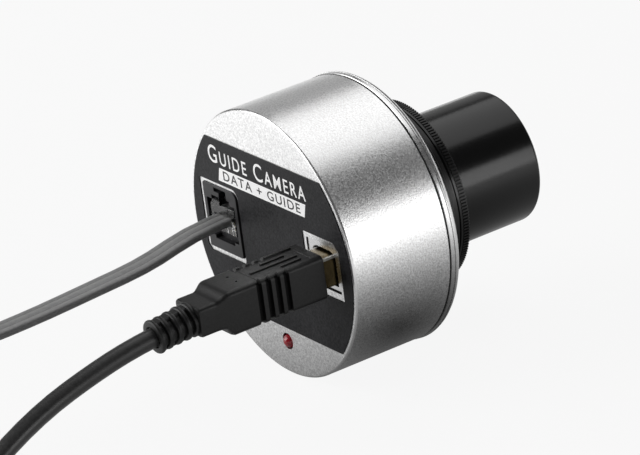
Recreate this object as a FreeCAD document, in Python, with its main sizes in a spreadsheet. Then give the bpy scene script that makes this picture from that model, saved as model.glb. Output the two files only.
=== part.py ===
import FreeCAD, Part
import math
import os

import Sketcher

# Guide camera for a telescope, lying on its side. Millimetres, +Z up, the optical
# axis along +Y. Local shapes are drawn from the centre of the rear face.

V = FreeCAD.Vector
doc = FreeCAD.newDocument("GuideCamera")

SIZES = [
    # whole object
    ("axis_height", 32.3),
    ("rear_face", -31.8),
    # housing cup
    ("housing_radius", 32.0),
    ("housing_length", 26.0),
    ("housing_bore", 29.6),
    ("rear_wall", 2.6),
    ("rim_chamfer", 0.5),
    # front cover and seal
    ("seal_thick", 0.35),
    ("cover_radius", 32.3),
    ("cover_thick", 2.95),
    ("cover_hole", 22.6),
    ("screw_circle", 27.0),
    ("post_radius", 2.4),
    ("post_top", 24.7),
    # rear label
    ("label_radius", 31.0),
    ("label_top", 21.1),
    ("label_bottom", 20.3),
    ("label_thick", 0.2),
    # sockets, each by the middle of its window
    ("guide_x", -19.3),
    ("guide_z", 0.95),
    ("guide_wide", 13.4),
    ("guide_high", 16.1),
    ("guide_proud", 0.4),
    ("usb_x", 20.3),
    ("usb_z", 0.5),
    ("usb_wide", 11.5),
    ("usb_high", 10.9),
    ("usb_sunk", 0.5),
    # lamp
    ("led_x", 0.9),
    ("led_z", -23.8),
    ("led_radius", 1.75),
    ("led_proud", 1.2),
    # boards
    ("board_y", 15.4),
    ("board_thick", 1.6),
    ("board_radius", 28.4),
    ("sensor_board_y", 19.9),
    ("sensor_board_thick", 1.2),
    ("sensor_board_radius", 21.5),
    ("sensor_post_circle", 19.3),
    # front ring, spacer and nosepiece
    ("adapter_radius", 24.0),
    ("adapter_front", 34.3),
    ("spigot_radius", 22.5),
    ("thread_bore", 21.0),
    ("thread_radius", 20.93),
    ("thread_end", 31.6),
    ("spacer_radius", 22.9),
    ("spacer_thick", 1.6),
    ("flange_radius", 21.6),
    ("knurl_radius", 22.0),
    ("knurl_back", 36.9),
    ("knurl_front", 39.4),
    ("barrel_radius", 15.875),
    ("barrel_end", 64.8),
    ("barrel_bore", 13.6),
    ("filter_bore", 14.0),
    ("filter_depth", 5.0),
    ("window_radius", 18.5),
    ("window_thick", 2.0),
    # square plug of the data cord
    ("plug_gap", 3.5),
    ("plug_wide", 11.4),
    ("plug_high", 10.5),
    ("plug_long", 25.5),
    ("neck_wide", 9.4),
    ("neck_high", 7.0),
    ("neck_end", -36.4),
    ("plug_shell_wide", 8.0),
    ("plug_shell_high", 7.3),
    ("plug_shell_long", 11.75),
    ("sleeve_long", 9.6),
    ("sleeve_droop", 5.4),
    # modular plugs of the guide cable
    ("modular_wide", 9.65),
    ("modular_high", 6.6),
    ("modular_long", 11.7),
    ("modular_z", 1.0),
    # cords
    ("usb_cord", 4.5),
    ("flat_wide", 6.5),
    ("flat_thick", 1.8),
]


class Size:
    """A length with its value and the sheet expression that gives it."""

    def __init__(self, value, text):
        self.value = value
        self.text = text

    def __add__(self, other):
        other = as_size(other)
        return Size(self.value + other.value, f"({self.text} + {other.text})")

    def __sub__(self, other):
        other = as_size(other)
        return Size(self.value - other.value, f"({self.text} - {other.text})")

    def __mul__(self, factor):
        return Size(self.value * factor, f"({self.text} * {factor})")

    def __neg__(self):
        return self * -1

    def __radd__(self, other):
        return as_size(other) + self

    def __rsub__(self, other):
        return as_size(other) - self


def as_size(value):
    return value if isinstance(value, Size) else Size(float(value), f"({float(value)})")


sheet = doc.addObject("Spreadsheet::Sheet", "Sizes")
s = {}
for row, (alias, value) in enumerate(SIZES, start=1):
    sheet.set(f"A{row}", alias)
    sheet.set(f"B{row}", str(value))
    sheet.setAlias(f"B{row}", alias)
    s[alias] = Size(value, f"Sizes.{alias}")
doc.recompute()

PRIMITIVES = ("Part::Box", "Part::Cylinder")
nodes = []


def bind(thing, **values):
    """Bind properties to sheet expressions; x, y and z are the placement's base."""
    for name, value in values.items():
        path = f"Placement.Base.{name}" if name in ("x", "y", "z") else name
        thing.setExpression(path, as_size(value).text)


def node(thing, label, x=0.0, y=None, z=None, turn=None):
    """Label a sub-part, put it in its place and list it for export."""
    if thing.TypeId in PRIMITIVES:
        thing = group(thing)
    if turn is not None:
        thing.Placement = FreeCAD.Placement(V(0, 0, 0), turn)
    bind(thing, x=x, y=s["rear_face"] if y is None else y, z=s["axis_height"] if z is None else z)
    thing.Label = label
    nodes.append(thing)
    return thing


# ---------------------------------------------------------------- shape helpers

ALONG_Y = FreeCAD.Rotation(V(1, 0, 0), -90)


def box(x, y, z, wide, long, high):
    """A box centred on x and z that starts at y."""
    shape = doc.addObject("Part::Box", "Box")
    bind(shape, Length=wide, Width=long, Height=high)
    bind(shape, x=as_size(x) - as_size(wide) * 0.5, y=y, z=as_size(z) - as_size(high) * 0.5)
    return shape


def rod(radius, y, long, x=0.0, z=0.0):
    """A cylinder along +Y."""
    shape = doc.addObject("Part::Cylinder", "Rod")
    shape.Placement = FreeCAD.Placement(V(0, 0, 0), ALONG_Y)
    bind(shape, Radius=radius, Height=long, x=x, y=y, z=z)
    return shape


def fuse(*shapes):
    both = doc.addObject("Part::MultiFuse", "Fuse")
    both.Shapes = list(shapes)
    return both


def cut(base, *tools):
    left = doc.addObject("Part::Cut", "Cut")
    left.Base = base
    left.Tool = tools[0] if len(tools) == 1 else fuse(*tools)
    return left


def group(*shapes):
    several = doc.addObject("Part::Compound", "Group")
    several.Links = list(shapes)
    return several


def ring(outer, inner, y, long, x=0.0, z=0.0):
    return cut(rod(outer, y, long, x, z), rod(inner, y, long, x, z))


def on_circle(radius, degrees):
    """x and z of a place on a circle about the optical axis, as sheet sizes."""
    angle = math.radians(degrees)
    return as_size(radius) * round(math.cos(angle), 6), as_size(radius) * round(math.sin(angle), 6)


def base_plane(body, role):
    return next(plane for plane in body.Origin.OriginFeatures if plane.Role == role)


def outline(body, role, points, offset=0.0):
    """A closed outline on one of the body's own planes, each corner bound to the sheet."""
    sketch = body.newObject("Sketcher::SketchObject", "Outline")
    sketch.AttachmentSupport = [(base_plane(body, role), "")]
    sketch.MapMode = "FlatFace"
    if offset:
        sketch.AttachmentOffset = FreeCAD.Placement(V(0, 0, offset), FreeCAD.Rotation())
    corners = [(as_size(a), as_size(b)) for a, b in points]
    flat = [V(a.value, b.value, 0) for a, b in corners]
    count = len(flat)
    sketch.addGeometry([Part.LineSegment(flat[i], flat[(i + 1) % count]) for i in range(count)])
    for i in range(count):
        sketch.addConstraint(Sketcher.Constraint("Coincident", i, 2, (i + 1) % count, 1))
    for i, corner in enumerate(corners):
        for kind, axis, size in (("DistanceX", -2, corner[0]), ("DistanceY", -1, corner[1])):
            if abs(size.value) < 1e-9:
                sketch.addConstraint(Sketcher.Constraint("PointOnObject", i, 1, axis))
                continue
            last = sketch.addConstraint(Sketcher.Constraint(kind, -1, 1, i, 1, size.value))
            sketch.setExpression(f"Constraints[{last}]", size.text)
    return sketch


def turned(points):
    """A body turned about the optical axis from (y, radius) corners."""
    body = doc.addObject("PartDesign::Body", "Turned")
    sketch = outline(body, "YZ_Plane", points)
    spin = body.newObject("PartDesign::Revolution", "Spin")
    spin.Profile = sketch
    spin.ReferenceAxis = (sketch, ["H_Axis"])
    spin.Angle = 360.0
    body.Tip = spin
    doc.recompute()
    return body


def holes(body, circles, depth, offset=0.0):
    """Pocket round holes (x, z, radius) towards +Y from a plane across the axis."""
    sketch = body.newObject("Sketcher::SketchObject", "Holes")
    sketch.AttachmentSupport = [(base_plane(body, "XZ_Plane"), "")]
    sketch.MapMode = "FlatFace"
    sketch.AttachmentOffset = FreeCAD.Placement(V(0, 0, -offset), FreeCAD.Rotation())
    for i, (x, z, radius) in enumerate(circles):
        x, z, radius = as_size(x), as_size(z), as_size(radius)
        sketch.addGeometry(Part.Circle(V(x.value, z.value, 0), V(0, 0, 1), radius.value))
        for kind, size in (("DistanceX", x), ("DistanceY", z)):
            if abs(size.value) < 1e-9:
                line = -2 if kind == "DistanceX" else -1
                sketch.addConstraint(Sketcher.Constraint("PointOnObject", i, 3, line))
                continue
            last = sketch.addConstraint(Sketcher.Constraint(kind, -1, 1, i, 3, size.value))
            sketch.setExpression(f"Constraints[{last}]", size.text)
        last = sketch.addConstraint(Sketcher.Constraint("Radius", i, radius.value))
        sketch.setExpression(f"Constraints[{last}]", radius.text)
    pocket = body.newObject("PartDesign::Pocket", "Pocket")
    pocket.Profile = sketch
    bind(pocket, Length=depth)
    before = body.Shape.Volume
    body.Tip = pocket
    doc.recompute()
    if body.Shape.Volume >= before:
        raise RuntimeError("a row of holes cuts nothing")
    return pocket


# ---------------------------------------------------------------- housing

SCREW_ANGLES = (90, 210, 330)
BOARD_ANGLES = (35, 145, 235, 305)
BOARD_CIRCLE = 24.0
TAP_RADIUS = 1.25


def rear_housing():
    cup = turned([
        (0, 0), (0, s["housing_radius"] - s["rim_chamfer"]),
        (s["rim_chamfer"], s["housing_radius"]), (s["housing_length"], s["housing_radius"]),
        (s["housing_length"], s["housing_bore"]), (s["rear_wall"], s["housing_bore"]),
        (s["rear_wall"], 0),
    ])
    posts = []
    for degrees in SCREW_ANGLES:
        x, z = on_circle(s["screw_circle"], degrees)
        posts.append(cut(
            rod(s["post_radius"], s["rear_wall"] - 0.2, s["post_top"] - s["rear_wall"] + 0.2, x, z),
            rod(TAP_RADIUS, s["post_top"] - 6.0, 7.0, x, z),
        ))
    for degrees in BOARD_ANGLES:
        x, z = on_circle(BOARD_CIRCLE, degrees)
        posts.append(cut(
            rod(2.0, s["rear_wall"] - 0.2, s["board_y"] - s["rear_wall"] + 0.2, x, z),
            rod(0.95, s["board_y"] - 6.0, 7.0, x, z),
        ))
    windows = (
        box(s["guide_x"], -1, s["guide_z"], s["guide_wide"] + 0.1, 5, s["guide_high"] + 0.1),
        box(s["usb_x"], -1, s["usb_z"], s["usb_wide"] + 0.2, 5, s["usb_high"] + 0.2),
        rod(s["led_radius"] + 0.25, -1, 5, s["led_x"], s["led_z"]),
    )
    node(cut(fuse(cup, *posts), *windows), "rear_housing")


def front_cover():
    back = s["housing_length"] + s["seal_thick"]
    front = back + s["cover_thick"]
    edge = s["cover_radius"]
    cover = turned([
        (back - 1.5, 28.5), (back - 1.5, s["housing_bore"] - 0.15), (back, s["housing_bore"] - 0.15),
        (back, edge), (back + 1.0, edge), (back + 1.9, edge - 0.35), (back + 2.6, edge - 1.0),
        (front, edge - 1.9), (front, s["cover_hole"]), (back, s["cover_hole"]), (back, 28.5),
    ])
    places = [on_circle(s["screw_circle"], degrees) for degrees in SCREW_ANGLES]
    holes(cover, [(x, z, 1.35) for x, z in places], 6.0, offset=24.0)
    holes(cover, [(x, z, 2.1) for x, z in places], 3.0, offset=front.value - 1.3)
    node(cover, "front_cover")


def cover_seal():
    node(turned([
        (s["housing_length"], s["housing_bore"]), (s["housing_length"], s["housing_radius"] - 0.3),
        (s["housing_length"] + s["seal_thick"], s["housing_radius"] - 0.3),
        (s["housing_length"] + s["seal_thick"], s["housing_bore"]),
    ]), "cover_seal")


def screw(head_radius, head_y, head_long, shank_radius, shank_y, x, z):
    """A socket-head screw along the axis, its head towards +Y."""
    head = rod(head_radius, head_y, head_long, x, z)
    shank = rod(shank_radius, shank_y, as_size(head_y) - shank_y, x, z)
    socket = rod(head_radius * 0.45, as_size(head_y) + head_long * 0.4, head_long, x, z)
    return cut(fuse(head, shank), socket)


def cover_screws():
    face = s["housing_length"] + s["seal_thick"] + s["cover_thick"]
    node(group(*[
        screw(1.95, face - 1.3, 1.2, 1.2, 20.0, *on_circle(s["screw_circle"], degrees))
        for degrees in SCREW_ANGLES
    ]), "cover_screws")


def rear_label():
    disc = rod(s["label_radius"], -s["label_thick"], s["label_thick"])
    band = box(0, -1, (s["label_top"] - s["label_bottom"]) * 0.5, 70, 2, s["label_top"] + s["label_bottom"])
    sheet_stock = doc.addObject("Part::Common", "Band")
    sheet_stock.Base = disc
    sheet_stock.Tool = band
    node(cut(
        sheet_stock,
        box(s["guide_x"] - 0.45, -1, s["guide_z"] - 0.4, s["guide_wide"] + 2.3, 2, s["guide_high"] + 1.8),
        box(s["usb_x"], -1, s["usb_z"] - 0.1, s["usb_wide"] + 2.2, 2, s["usb_high"] + 3.1),
    ), "rear_label")


# ---------------------------------------------------------------- nosepiece and its seat

def adapter_ring():
    back = s["housing_length"] + s["seal_thick"] + 0.05
    face = s["housing_length"] + s["seal_thick"] + s["cover_thick"]
    seat = face - 1.0
    node(turned([
        (back, 16.5), (back, s["spigot_radius"]), (face, s["spigot_radius"]),
        (face, s["adapter_radius"] - 0.3), (face + 0.3, s["adapter_radius"]),
        (s["adapter_front"] - 0.5, s["adapter_radius"]), (s["adapter_front"], s["adapter_radius"] - 0.5),
        (s["adapter_front"], s["thread_bore"]), (seat + s["window_thick"], s["thread_bore"]),
        (seat + s["window_thick"], s["window_radius"] + 0.1), (seat, s["window_radius"] + 0.1), (seat, 16.5),
    ]), "adapter_ring")
    node(rod(s["window_radius"], seat, s["window_thick"]), "window_glass")
    node(
        ring(s["thread_bore"] - 0.03, 16.8, seat + s["window_thick"], 1.0), "window_retainer"
    )


def spacer_ring():
    back = s["adapter_front"]
    front = back + s["spacer_thick"]
    node(turned([
        (back, s["thread_radius"] + 0.12), (back, s["spacer_radius"] - 0.3),
        (back + 0.3, s["spacer_radius"]), (front - 0.3, s["spacer_radius"]),
        (front, s["spacer_radius"] - 0.3), (front, s["thread_radius"] + 0.12),
    ]), "spacer_ring")


def nosepiece():
    shoulder = s["adapter_front"] + s["spacer_thick"]
    end = s["barrel_end"]
    node(turned([
        (s["thread_end"], 17.5), (s["thread_end"], s["thread_radius"] - 0.4),
        (s["thread_end"] + 0.4, s["thread_radius"]), (shoulder, s["thread_radius"]),
        (shoulder, s["flange_radius"]), (s["knurl_back"], s["flange_radius"]),
        (s["knurl_back"], s["knurl_radius"]), (s["knurl_front"], s["knurl_radius"]),
        (s["knurl_front"], s["barrel_radius"]), (end - 0.8, s["barrel_radius"]),
        (end - 0.25, s["barrel_radius"] - 0.25), (end, s["barrel_radius"] - 0.8),
        (end, s["filter_bore"]), (end - s["filter_depth"], s["filter_bore"]),
        (end - s["filter_depth"], s["barrel_bore"]), (s["knurl_back"], s["barrel_bore"]),
        (s["knurl_back"] - 2.0, 17.5),
    ]), "nosepiece")


# ---------------------------------------------------------------- boards

def boards():
    plate = s["board_y"]
    top = plate + s["board_thick"]
    clear_of_posts = s["screw_circle"] + 1.0
    notches = [rod(3.7, plate - 1, 4, *on_circle(clear_of_posts, degrees)) for degrees in SCREW_ANGLES]
    bores = [rod(1.1, plate - 1, 4, *on_circle(BOARD_CIRCLE, degrees)) for degrees in BOARD_ANGLES]
    node(cut(rod(s["board_radius"], plate, s["board_thick"]), *notches, *bores), "main_board")
    node(group(*[
        screw(1.9, top, 1.3, 0.9, plate - 5.0, *on_circle(BOARD_CIRCLE, degrees)) for degrees in BOARD_ANGLES
    ]), "board_screws")

    chip_high = 1.4
    node(box(-6.0, top, 5.5, 12, chip_high, 12), "controller_chip")
    node(box(10.0, top, 6.0, 8, 1.2, 10), "memory_chip")
    node(box(9.5, top, -3.5, 5.0, 1.2, 3.2), "clock_crystal")
    relay_x = (-7.2, -2.4, 2.4, 7.2)
    node(group(*[box(x, plate - 2.2, 15.0, 3.9, 2.2, 4.4) for x in relay_x]), "guide_relays")
    spots = [(-8.0, -8.0), (-4.5, -8.0), (4.5, -8.0), (8.0, -8.0), (-8.0, 9.5), (8.0, 9.5)]
    node(group(*[box(x, plate - 1.0, z, 1.6, 1.0, 0.9) for x, z in spots]), "capacitors")
    half = (s["sensor_board_y"] - top) * 0.5
    node(box(0, top, -12.5, 20.0, half, 3.2), "board_receptacle")
    node(box(0, top + half, -12.5, 19.0, half, 2.6), "board_header")

    deck = s["sensor_board_y"]
    face = deck + s["sensor_board_thick"]
    seat = s["housing_length"] + s["seal_thick"] + 0.05
    angles = (90, 210, 330)
    drilled = [rod(1.0, deck - 1, 4, *on_circle(s["sensor_post_circle"], degrees)) for degrees in angles]
    node(cut(rod(s["sensor_board_radius"], deck, s["sensor_board_thick"]), *drilled), "sensor_board")
    stand, bolts = [], []
    for degrees in angles:
        x, z = on_circle(s["sensor_post_circle"], degrees)
        stand.append(cut(rod(2.0, face, seat - face, x, z), rod(0.95, face - 1, 4.5, x, z)))
        bolts.append(fuse(rod(1.8, deck - 1.1, 1.1, x, z), rod(0.85, deck - 0.1, 3.5, x, z)))
    node(group(*stand), "sensor_standoffs")
    node(group(*bolts), "sensor_screws")
    package = cut(box(0, face, 0, 14.2, 2.0, 14.2), box(0, face + 1.0, 0, 10.4, 2.0, 10.4))
    node(package, "image_sensor")
    node(box(0, face + 2.0, 0, 11.6, 0.5, 11.6), "sensor_glass")


# ---------------------------------------------------------------- sockets and lamp

def usb_socket():
    x, z, front = s["usb_x"], s["usb_z"], s["usb_sunk"]
    wall = 0.4
    depth = s["board_y"] - front
    shell = box(x, front, z, s["usb_wide"], depth, s["usb_high"])
    hollow = box(x, front + wall, z, s["usb_wide"] - 2 * wall, depth, s["usb_high"] - 2 * wall)
    mouth = box(x, -1, z, 9.0, 3, 8.3)
    node(cut(shell, hollow, mouth), "usb_socket_shell")
    block = box(x, front + wall, z, s["usb_wide"] - 2 * wall, depth - wall, s["usb_high"] - 2 * wall)
    cavity = box(x, 0, z, 8.5, 12.6, 7.8)
    tongue = box(x, 3.2, z, 5.6, 9.6, 3.1)
    node(fuse(cut(block, cavity), tongue), "usb_socket_tongue")
    strips = [
        box(x + side * 1.25, 3.6, z + face * 1.625, 0.9, 9.0, 0.15) for side in (-1, 1) for face in (-1, 1)
    ]
    node(group(*strips), "usb_socket_contacts")


def guide_socket():
    x, z, plug_z = s["guide_x"], s["guide_z"], s["modular_z"]
    front = -s["guide_proud"]
    depth = s["board_y"] + s["guide_proud"]
    base = plug_z + 4.3
    body = box(x, front, z, s["guide_wide"], depth, s["guide_high"])
    mouth = box(x, front - 1, plug_z - 0.25, 11.2, 2.6, 9.1)
    channel = box(x, 0, plug_z, s["modular_wide"] + 0.3, 13.2, s["modular_high"] + 0.4)
    latch_way = box(x, 0, plug_z + 4.6, 6.6, 13.2, 3.2)
    steps = (
        box(x, front - 1, base + 0.5, 7.0, 2.6, 1.1),
        box(x + 1.1, front - 1, base + 1.5, 2.9, 2.6, 1.3),
        box(x + 0.25, front - 1, base + 2.6, 4.6, 2.6, 1.0),
    )
    pins = [x + 1.02 * (i - 2.5) for i in range(6)]
    slots = [box(pin, 1.9, plug_z - 3.7, 0.5, 11.3, 0.6) for pin in pins]
    node(cut(body, mouth, channel, latch_way, *steps, *slots), "guide_socket_body")
    springs = [box(pin, 2.0, plug_z - 3.75, 0.4, 11.0, 0.4) for pin in pins]
    node(group(*springs), "guide_socket_contacts")


def status_lamp():
    x, z, radius = s["led_x"], s["led_z"], s["led_radius"]
    dome = doc.addObject("Part::Sphere", "Dome")
    bind(dome, Radius=radius, x=x, y=radius - s["led_proud"], z=z)
    barrel = rod(radius, radius - s["led_proud"], 3.4, x, z)
    collar = rod(radius + 0.35, 3.2, 1.0, x, z)
    node(fuse(dome, barrel, collar), "status_led")
    leads = [rod(0.25, 4.2, s["board_y"] - 4.2, x + side * 0.7, z) for side in (-1, 1)]
    node(group(*leads), "led_leads")


# ---------------------------------------------------------------- plugs

def usb_plug():
    x, z, front = s["usb_x"], s["usb_z"], -s["plug_gap"]
    back = front - s["plug_long"]
    body = doc.addObject("PartDesign::Body", "Overmould")

    def rectangle(wide, high, y):
        half_wide, half_high = as_size(wide) * 0.5, as_size(high) * 0.5
        corners = [
            (-half_wide, -half_high), (half_wide, -half_high),
            (half_wide, half_high), (-half_wide, half_high),
        ]
        return outline(body, "XZ_Plane", corners, offset=-y)

    block = body.newObject("PartDesign::Pad", "Block")
    block.Profile = rectangle(s["plug_wide"], s["plug_high"], front.value)
    bind(block, Length=s["plug_long"])
    shoulder = body.newObject("PartDesign::AdditiveLoft", "Shoulder")
    shoulder.Profile = rectangle(s["plug_wide"], s["plug_high"], back.value)
    shoulder.Sections = [rectangle(s["neck_wide"], s["neck_high"], back.value - 2.8)]
    shoulder.Ruled = True
    neck = body.newObject("PartDesign::Pad", "Neck")
    neck.Profile = rectangle(s["neck_wide"], s["neck_high"], back.value - 2.8)
    bind(neck, Length=back - 2.8 - s["neck_end"])
    body.Tip = neck
    doc.recompute()
    node(body, "usb_plug_overmould", x=x, z=s["axis_height"] + z)

    long = s["plug_shell_long"]
    wide, high = s["plug_shell_wide"], s["plug_shell_high"]
    hollow = box(x, front - 1, z, wide - 0.7, long + 2, high - 0.7)
    node(cut(box(x, front, z, wide, long, high), hollow), "usb_plug_shell")
    insert = box(x, front, z, wide - 0.7, long - 0.3, high - 0.7)
    node(cut(insert, box(x, front + 1.6, z, 5.9, long + 2, 3.6)), "usb_plug_insert")

    ribs, pitch, crest, root = 4, 2.4, 3.9, 3.0
    profile = [(0, 0), (0, crest)]
    for i in range(ribs):
        start = -pitch * i - 1.1
        drop = 0.08 * i
        profile += [
            (start, crest - drop), (start - 0.25, root),
            (start - 1.05, root), (start - 1.3, crest - drop - 0.08),
        ]
    profile += [(-s["sleeve_long"], 3.4), (-s["sleeve_long"], 0)]
    sleeve = turned(profile)
    node(sleeve, "usb_strain_relief", x=x, y=s["rear_face"] + s["neck_end"], z=s["axis_height"] + z,
         turn=FreeCAD.Rotation(V(1, 0, 0), s["sleeve_droop"].value))


def modular_plug(prefix, x, y, z, turn):
    """A six-way modular plug: its back on the local origin, its nose towards local +Y."""
    wide, high, long = s["modular_wide"], s["modular_high"], s["modular_long"]
    block = box(0, 0, 0, wide, long, high)
    cable_way = box(0, -1, 0, s["flat_wide"], 7.0, s["flat_thick"])
    slots = [box(1.02 * (i - 2.5), long - 5.2, -high * 0.5 + 1.2, 0.5, 4.8, 3.0) for i in range(6)]
    node(cut(block, cable_way, *slots), f"{prefix}_plug_body", x, y, z, turn)
    blades = [box(1.02 * (i - 2.5), long - 5.0, -high * 0.5 + 1.2, 0.36, 4.4, 2.2) for i in range(6)]
    node(group(*blades), f"{prefix}_plug_contacts", x, y, z, turn)
    lever = doc.addObject("PartDesign::Body", "Lever")
    top = high * 0.5
    side = outline(lever, "YZ_Plane", [
        (long - 0.3, top + 0.1), (long - 0.3, top + 0.8), (long - 1.2, top + 0.9),
        (-1.4, top + 1.9), (-1.4, top + 1.05), (long - 1.4, top + 0.1),
    ])
    pad = lever.newObject("PartDesign::Pad", "Width")
    pad.Profile = side
    pad.Length = 3.2
    pad.Midplane = True
    lever.Tip = pad
    doc.recompute()
    node(lever, f"{prefix}_plug_latch", x, y, z, turn)


def host_plug(x, y, z, turn):
    """The data cord's far plug: its cable end on the local origin, its nose towards local +Y."""
    grip = box(0, 9.0, 0, 15.4, 26.0, 8.2)
    sleeve = rod(3.4, 0, 9.5)
    node(fuse(grip, sleeve), "host_plug_overmould", x, y, z, turn)
    shell_y, shell_long = 35.0, 18.8
    node(cut(box(0, shell_y, 0, 12.0, shell_long, 4.5), box(0, shell_y - 1, 0, 11.4, shell_long + 2, 3.9)),
         "host_plug_shell", x, y, z, turn)
    node(box(0, shell_y, -0.97, 11.4, shell_long - 0.6, 1.95), "host_plug_insert", x, y, z, turn)


# ---------------------------------------------------------------- cords

CORD_ARC_SHARE = 0.45
PILE = V(4.0, -176.0, 0)
HOST_WAY = V(math.cos(math.radians(40)), math.sin(math.radians(40)), 0)
USB_ROUTE = [
    V(20.3, -77.757, 31.897), V(20.3, -83.73, 31.33), V(20.5, -94.5, 29.2), V(21.2, -107.0, 26.1),
    V(23.6, -120.5, 21.5), V(28.2, -134.0, 16.1), V(33.2, -147.5, 16.1), V(36.4, -161.5, 16.1),
    V(37.2, -176.0, 16.1),
]
USB_TAIL = [
    V(-8.44, -145.22, 2.3), V(-1.0, -142.2, 2.4), V(6.3, -136.1, 4.2), V(6.3, -136.1, 4.2) + HOST_WAY * 6.0,
]
FLAT_ROUTE = [
    V(-19.3, -26.0, 33.3), V(-19.3, -39.8, 33.3), V(-19.3, -53.5, 29.7), V(-19.35, -68.5, 28.7),
    V(-20.2, -84.0, 27.2), V(-22.8, -99.5, 25.6), V(-26.6, -115.0, 24.1), V(-30.6, -130.5, 23.0),
    V(-33.9, -146.0, 22.4), V(-35.7, -161.0, 22.15), V(-36.0, -176.0, 22.15),
]
FLAT_TAIL = [
    V(26.0, -176.0, 22.15), V(25.2, -168.4, 22.8), V(20.4, -160.2, 25.6), V(11.6, -156.3, 28.7),
    V(1.4, -156.3, 28.7),
]
MOUNT_PLUG_IN = 5.0


def cord_path(name, points):
    """Straight runs joined by tangent arcs, each as large as its two runs allow."""
    edges, start = [], points[0]
    for before, corner, after in zip(points, points[1:], points[2:]):
        into, out = corner - before, after - corner
        turn = into.getAngle(out)
        reach = CORD_ARC_SHARE * min(into.Length, out.Length)
        radius = reach / math.tan(turn / 2)
        into.normalize()
        out.normalize()
        begin, end = corner - into * reach, corner + out * reach
        middle_way = out - into
        middle_way.normalize()
        depth = radius / math.cos(turn / 2) - radius
        print(f"{name}: turn {math.degrees(turn):.1f} degrees, radius {radius:.1f} mm")
        edges.append(Part.LineSegment(start, begin).toShape())
        edges.append(Part.Arc(begin, corner + middle_way * depth, end).toShape())
        start = end
    edges.append(Part.LineSegment(start, points[-1]).toShape())
    return Part.Wire(edges)


def cord_tube(label, points, profile):
    """Sweep a section along a cord's path and compare its volume with section times length."""
    path = cord_path(label, points)
    sweep = Part.BRepOffsetAPI.MakePipeShell(path)
    sweep.setBiNormalMode(V(0, 0, 1))
    sweep.add(profile)
    sweep.build()
    sweep.makeSolid()
    solid = sweep.shape()
    section = Part.Face(profile).Area
    whole = section * path.Length
    print(f"{label}: length {path.Length:.1f} mm, volume {solid.Volume:.1f} of {whole:.1f} mm3")
    tube = doc.addObject("Part::Feature", label)
    tube.Shape = solid
    tube.Label = label
    tube.Placement = FreeCAD.Placement()
    nodes.append(tube)
    return path


def round_section(points, radius):
    way = points[1] - points[0]
    return Part.Wire([Part.makeCircle(radius, points[0], way)])


def flat_section(points, wide, thick):
    way = points[1] - points[0]
    way.normalize()
    side = way.cross(V(0, 0, 1))
    side.normalize()
    up = side.cross(way)
    signs = ((-1, -1), (1, -1), (1, 1), (-1, 1))
    corners = [points[0] + side * (wide / 2 * a) + up * (thick / 2 * b) for a, b in signs]
    return Part.makePolygon(corners + corners[:1])


def coil(label, outer, inner, low, high):
    """The closed outer shape of a coil that lies flat about the pile's centre."""
    solids = []
    for radius in (outer, inner):
        stock = doc.addObject("Part::Cylinder", "Coil")
        bind(stock, Radius=radius, Height=high, x=PILE.x, y=PILE.y, z=low)
        solids.append(stock)
    whole = cut(*solids)
    whole.Label = label
    nodes.append(whole)


def cords():
    radius = s["usb_cord"].value / 2
    cord_tube("usb_cable", USB_ROUTE, round_section(USB_ROUTE, radius))
    coil("usb_cable_coil", 35.6, 19.6, 0.0, 18.4)
    cord_tube("usb_cable_tail", USB_TAIL, round_section(USB_TAIL, radius))
    host_end = USB_TAIL[-1]
    host_plug(host_end.x, host_end.y, host_end.z, FreeCAD.Rotation(V(0, 0, 1), -50))
    wide, thick = s["flat_wide"].value, s["flat_thick"].value
    cord_tube("guide_cable", FLAT_ROUTE, flat_section(FLAT_ROUTE, wide, thick))
    coil("guide_cable_coil", 41.0, 21.0, 18.9, s["flat_wide"])
    cord_tube("guide_cable_tail", FLAT_TAIL, flat_section(FLAT_TAIL, wide, thick))
    end = FLAT_TAIL[-1]
    modular_plug("mount", end.x + MOUNT_PLUG_IN, end.y, end.z, FreeCAD.Rotation(V(0, 0, 1), 90))


# ---------------------------------------------------------------- build and export

rear_housing()
front_cover()
cover_seal()
cover_screws()
rear_label()
adapter_ring()
spacer_ring()
nosepiece()
boards()
usb_socket()
guide_socket()
status_lamp()
usb_plug()
modular_plug("guide", s["guide_x"], s["rear_face"] - 0.2, s["axis_height"] + s["modular_z"], None)
cords()

doc.recompute()
for thing in doc.Objects:
    if "Invalid" in thing.State or "Error" in thing.State:
        raise RuntimeError(f"{thing.Name} ({thing.Label}) did not compute: {thing.State}")

os.makedirs("parts", exist_ok=True)
for thing in nodes:
    if thing.Shape.isNull() or not thing.Shape.isValid():
        raise RuntimeError(f"{thing.Label} is not a valid shape")
    thing.Shape.exportStep(f"parts/{thing.Label}.step")
    print(f"{thing.Label}: {len(thing.Shape.Solids)} solid(s), {thing.Shape.Volume:.0f} mm3")
print(f"{len(nodes)} sub-parts")
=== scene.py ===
"""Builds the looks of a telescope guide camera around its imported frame.

Shapes are in millimetres, which piece() turns into metres. The studio is in metres.
"""

import logging
import math
from collections.abc import Callable
from dataclasses import dataclass, field
from enum import Enum

import bmesh
import bpy
from mathutils import Matrix, Vector


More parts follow.
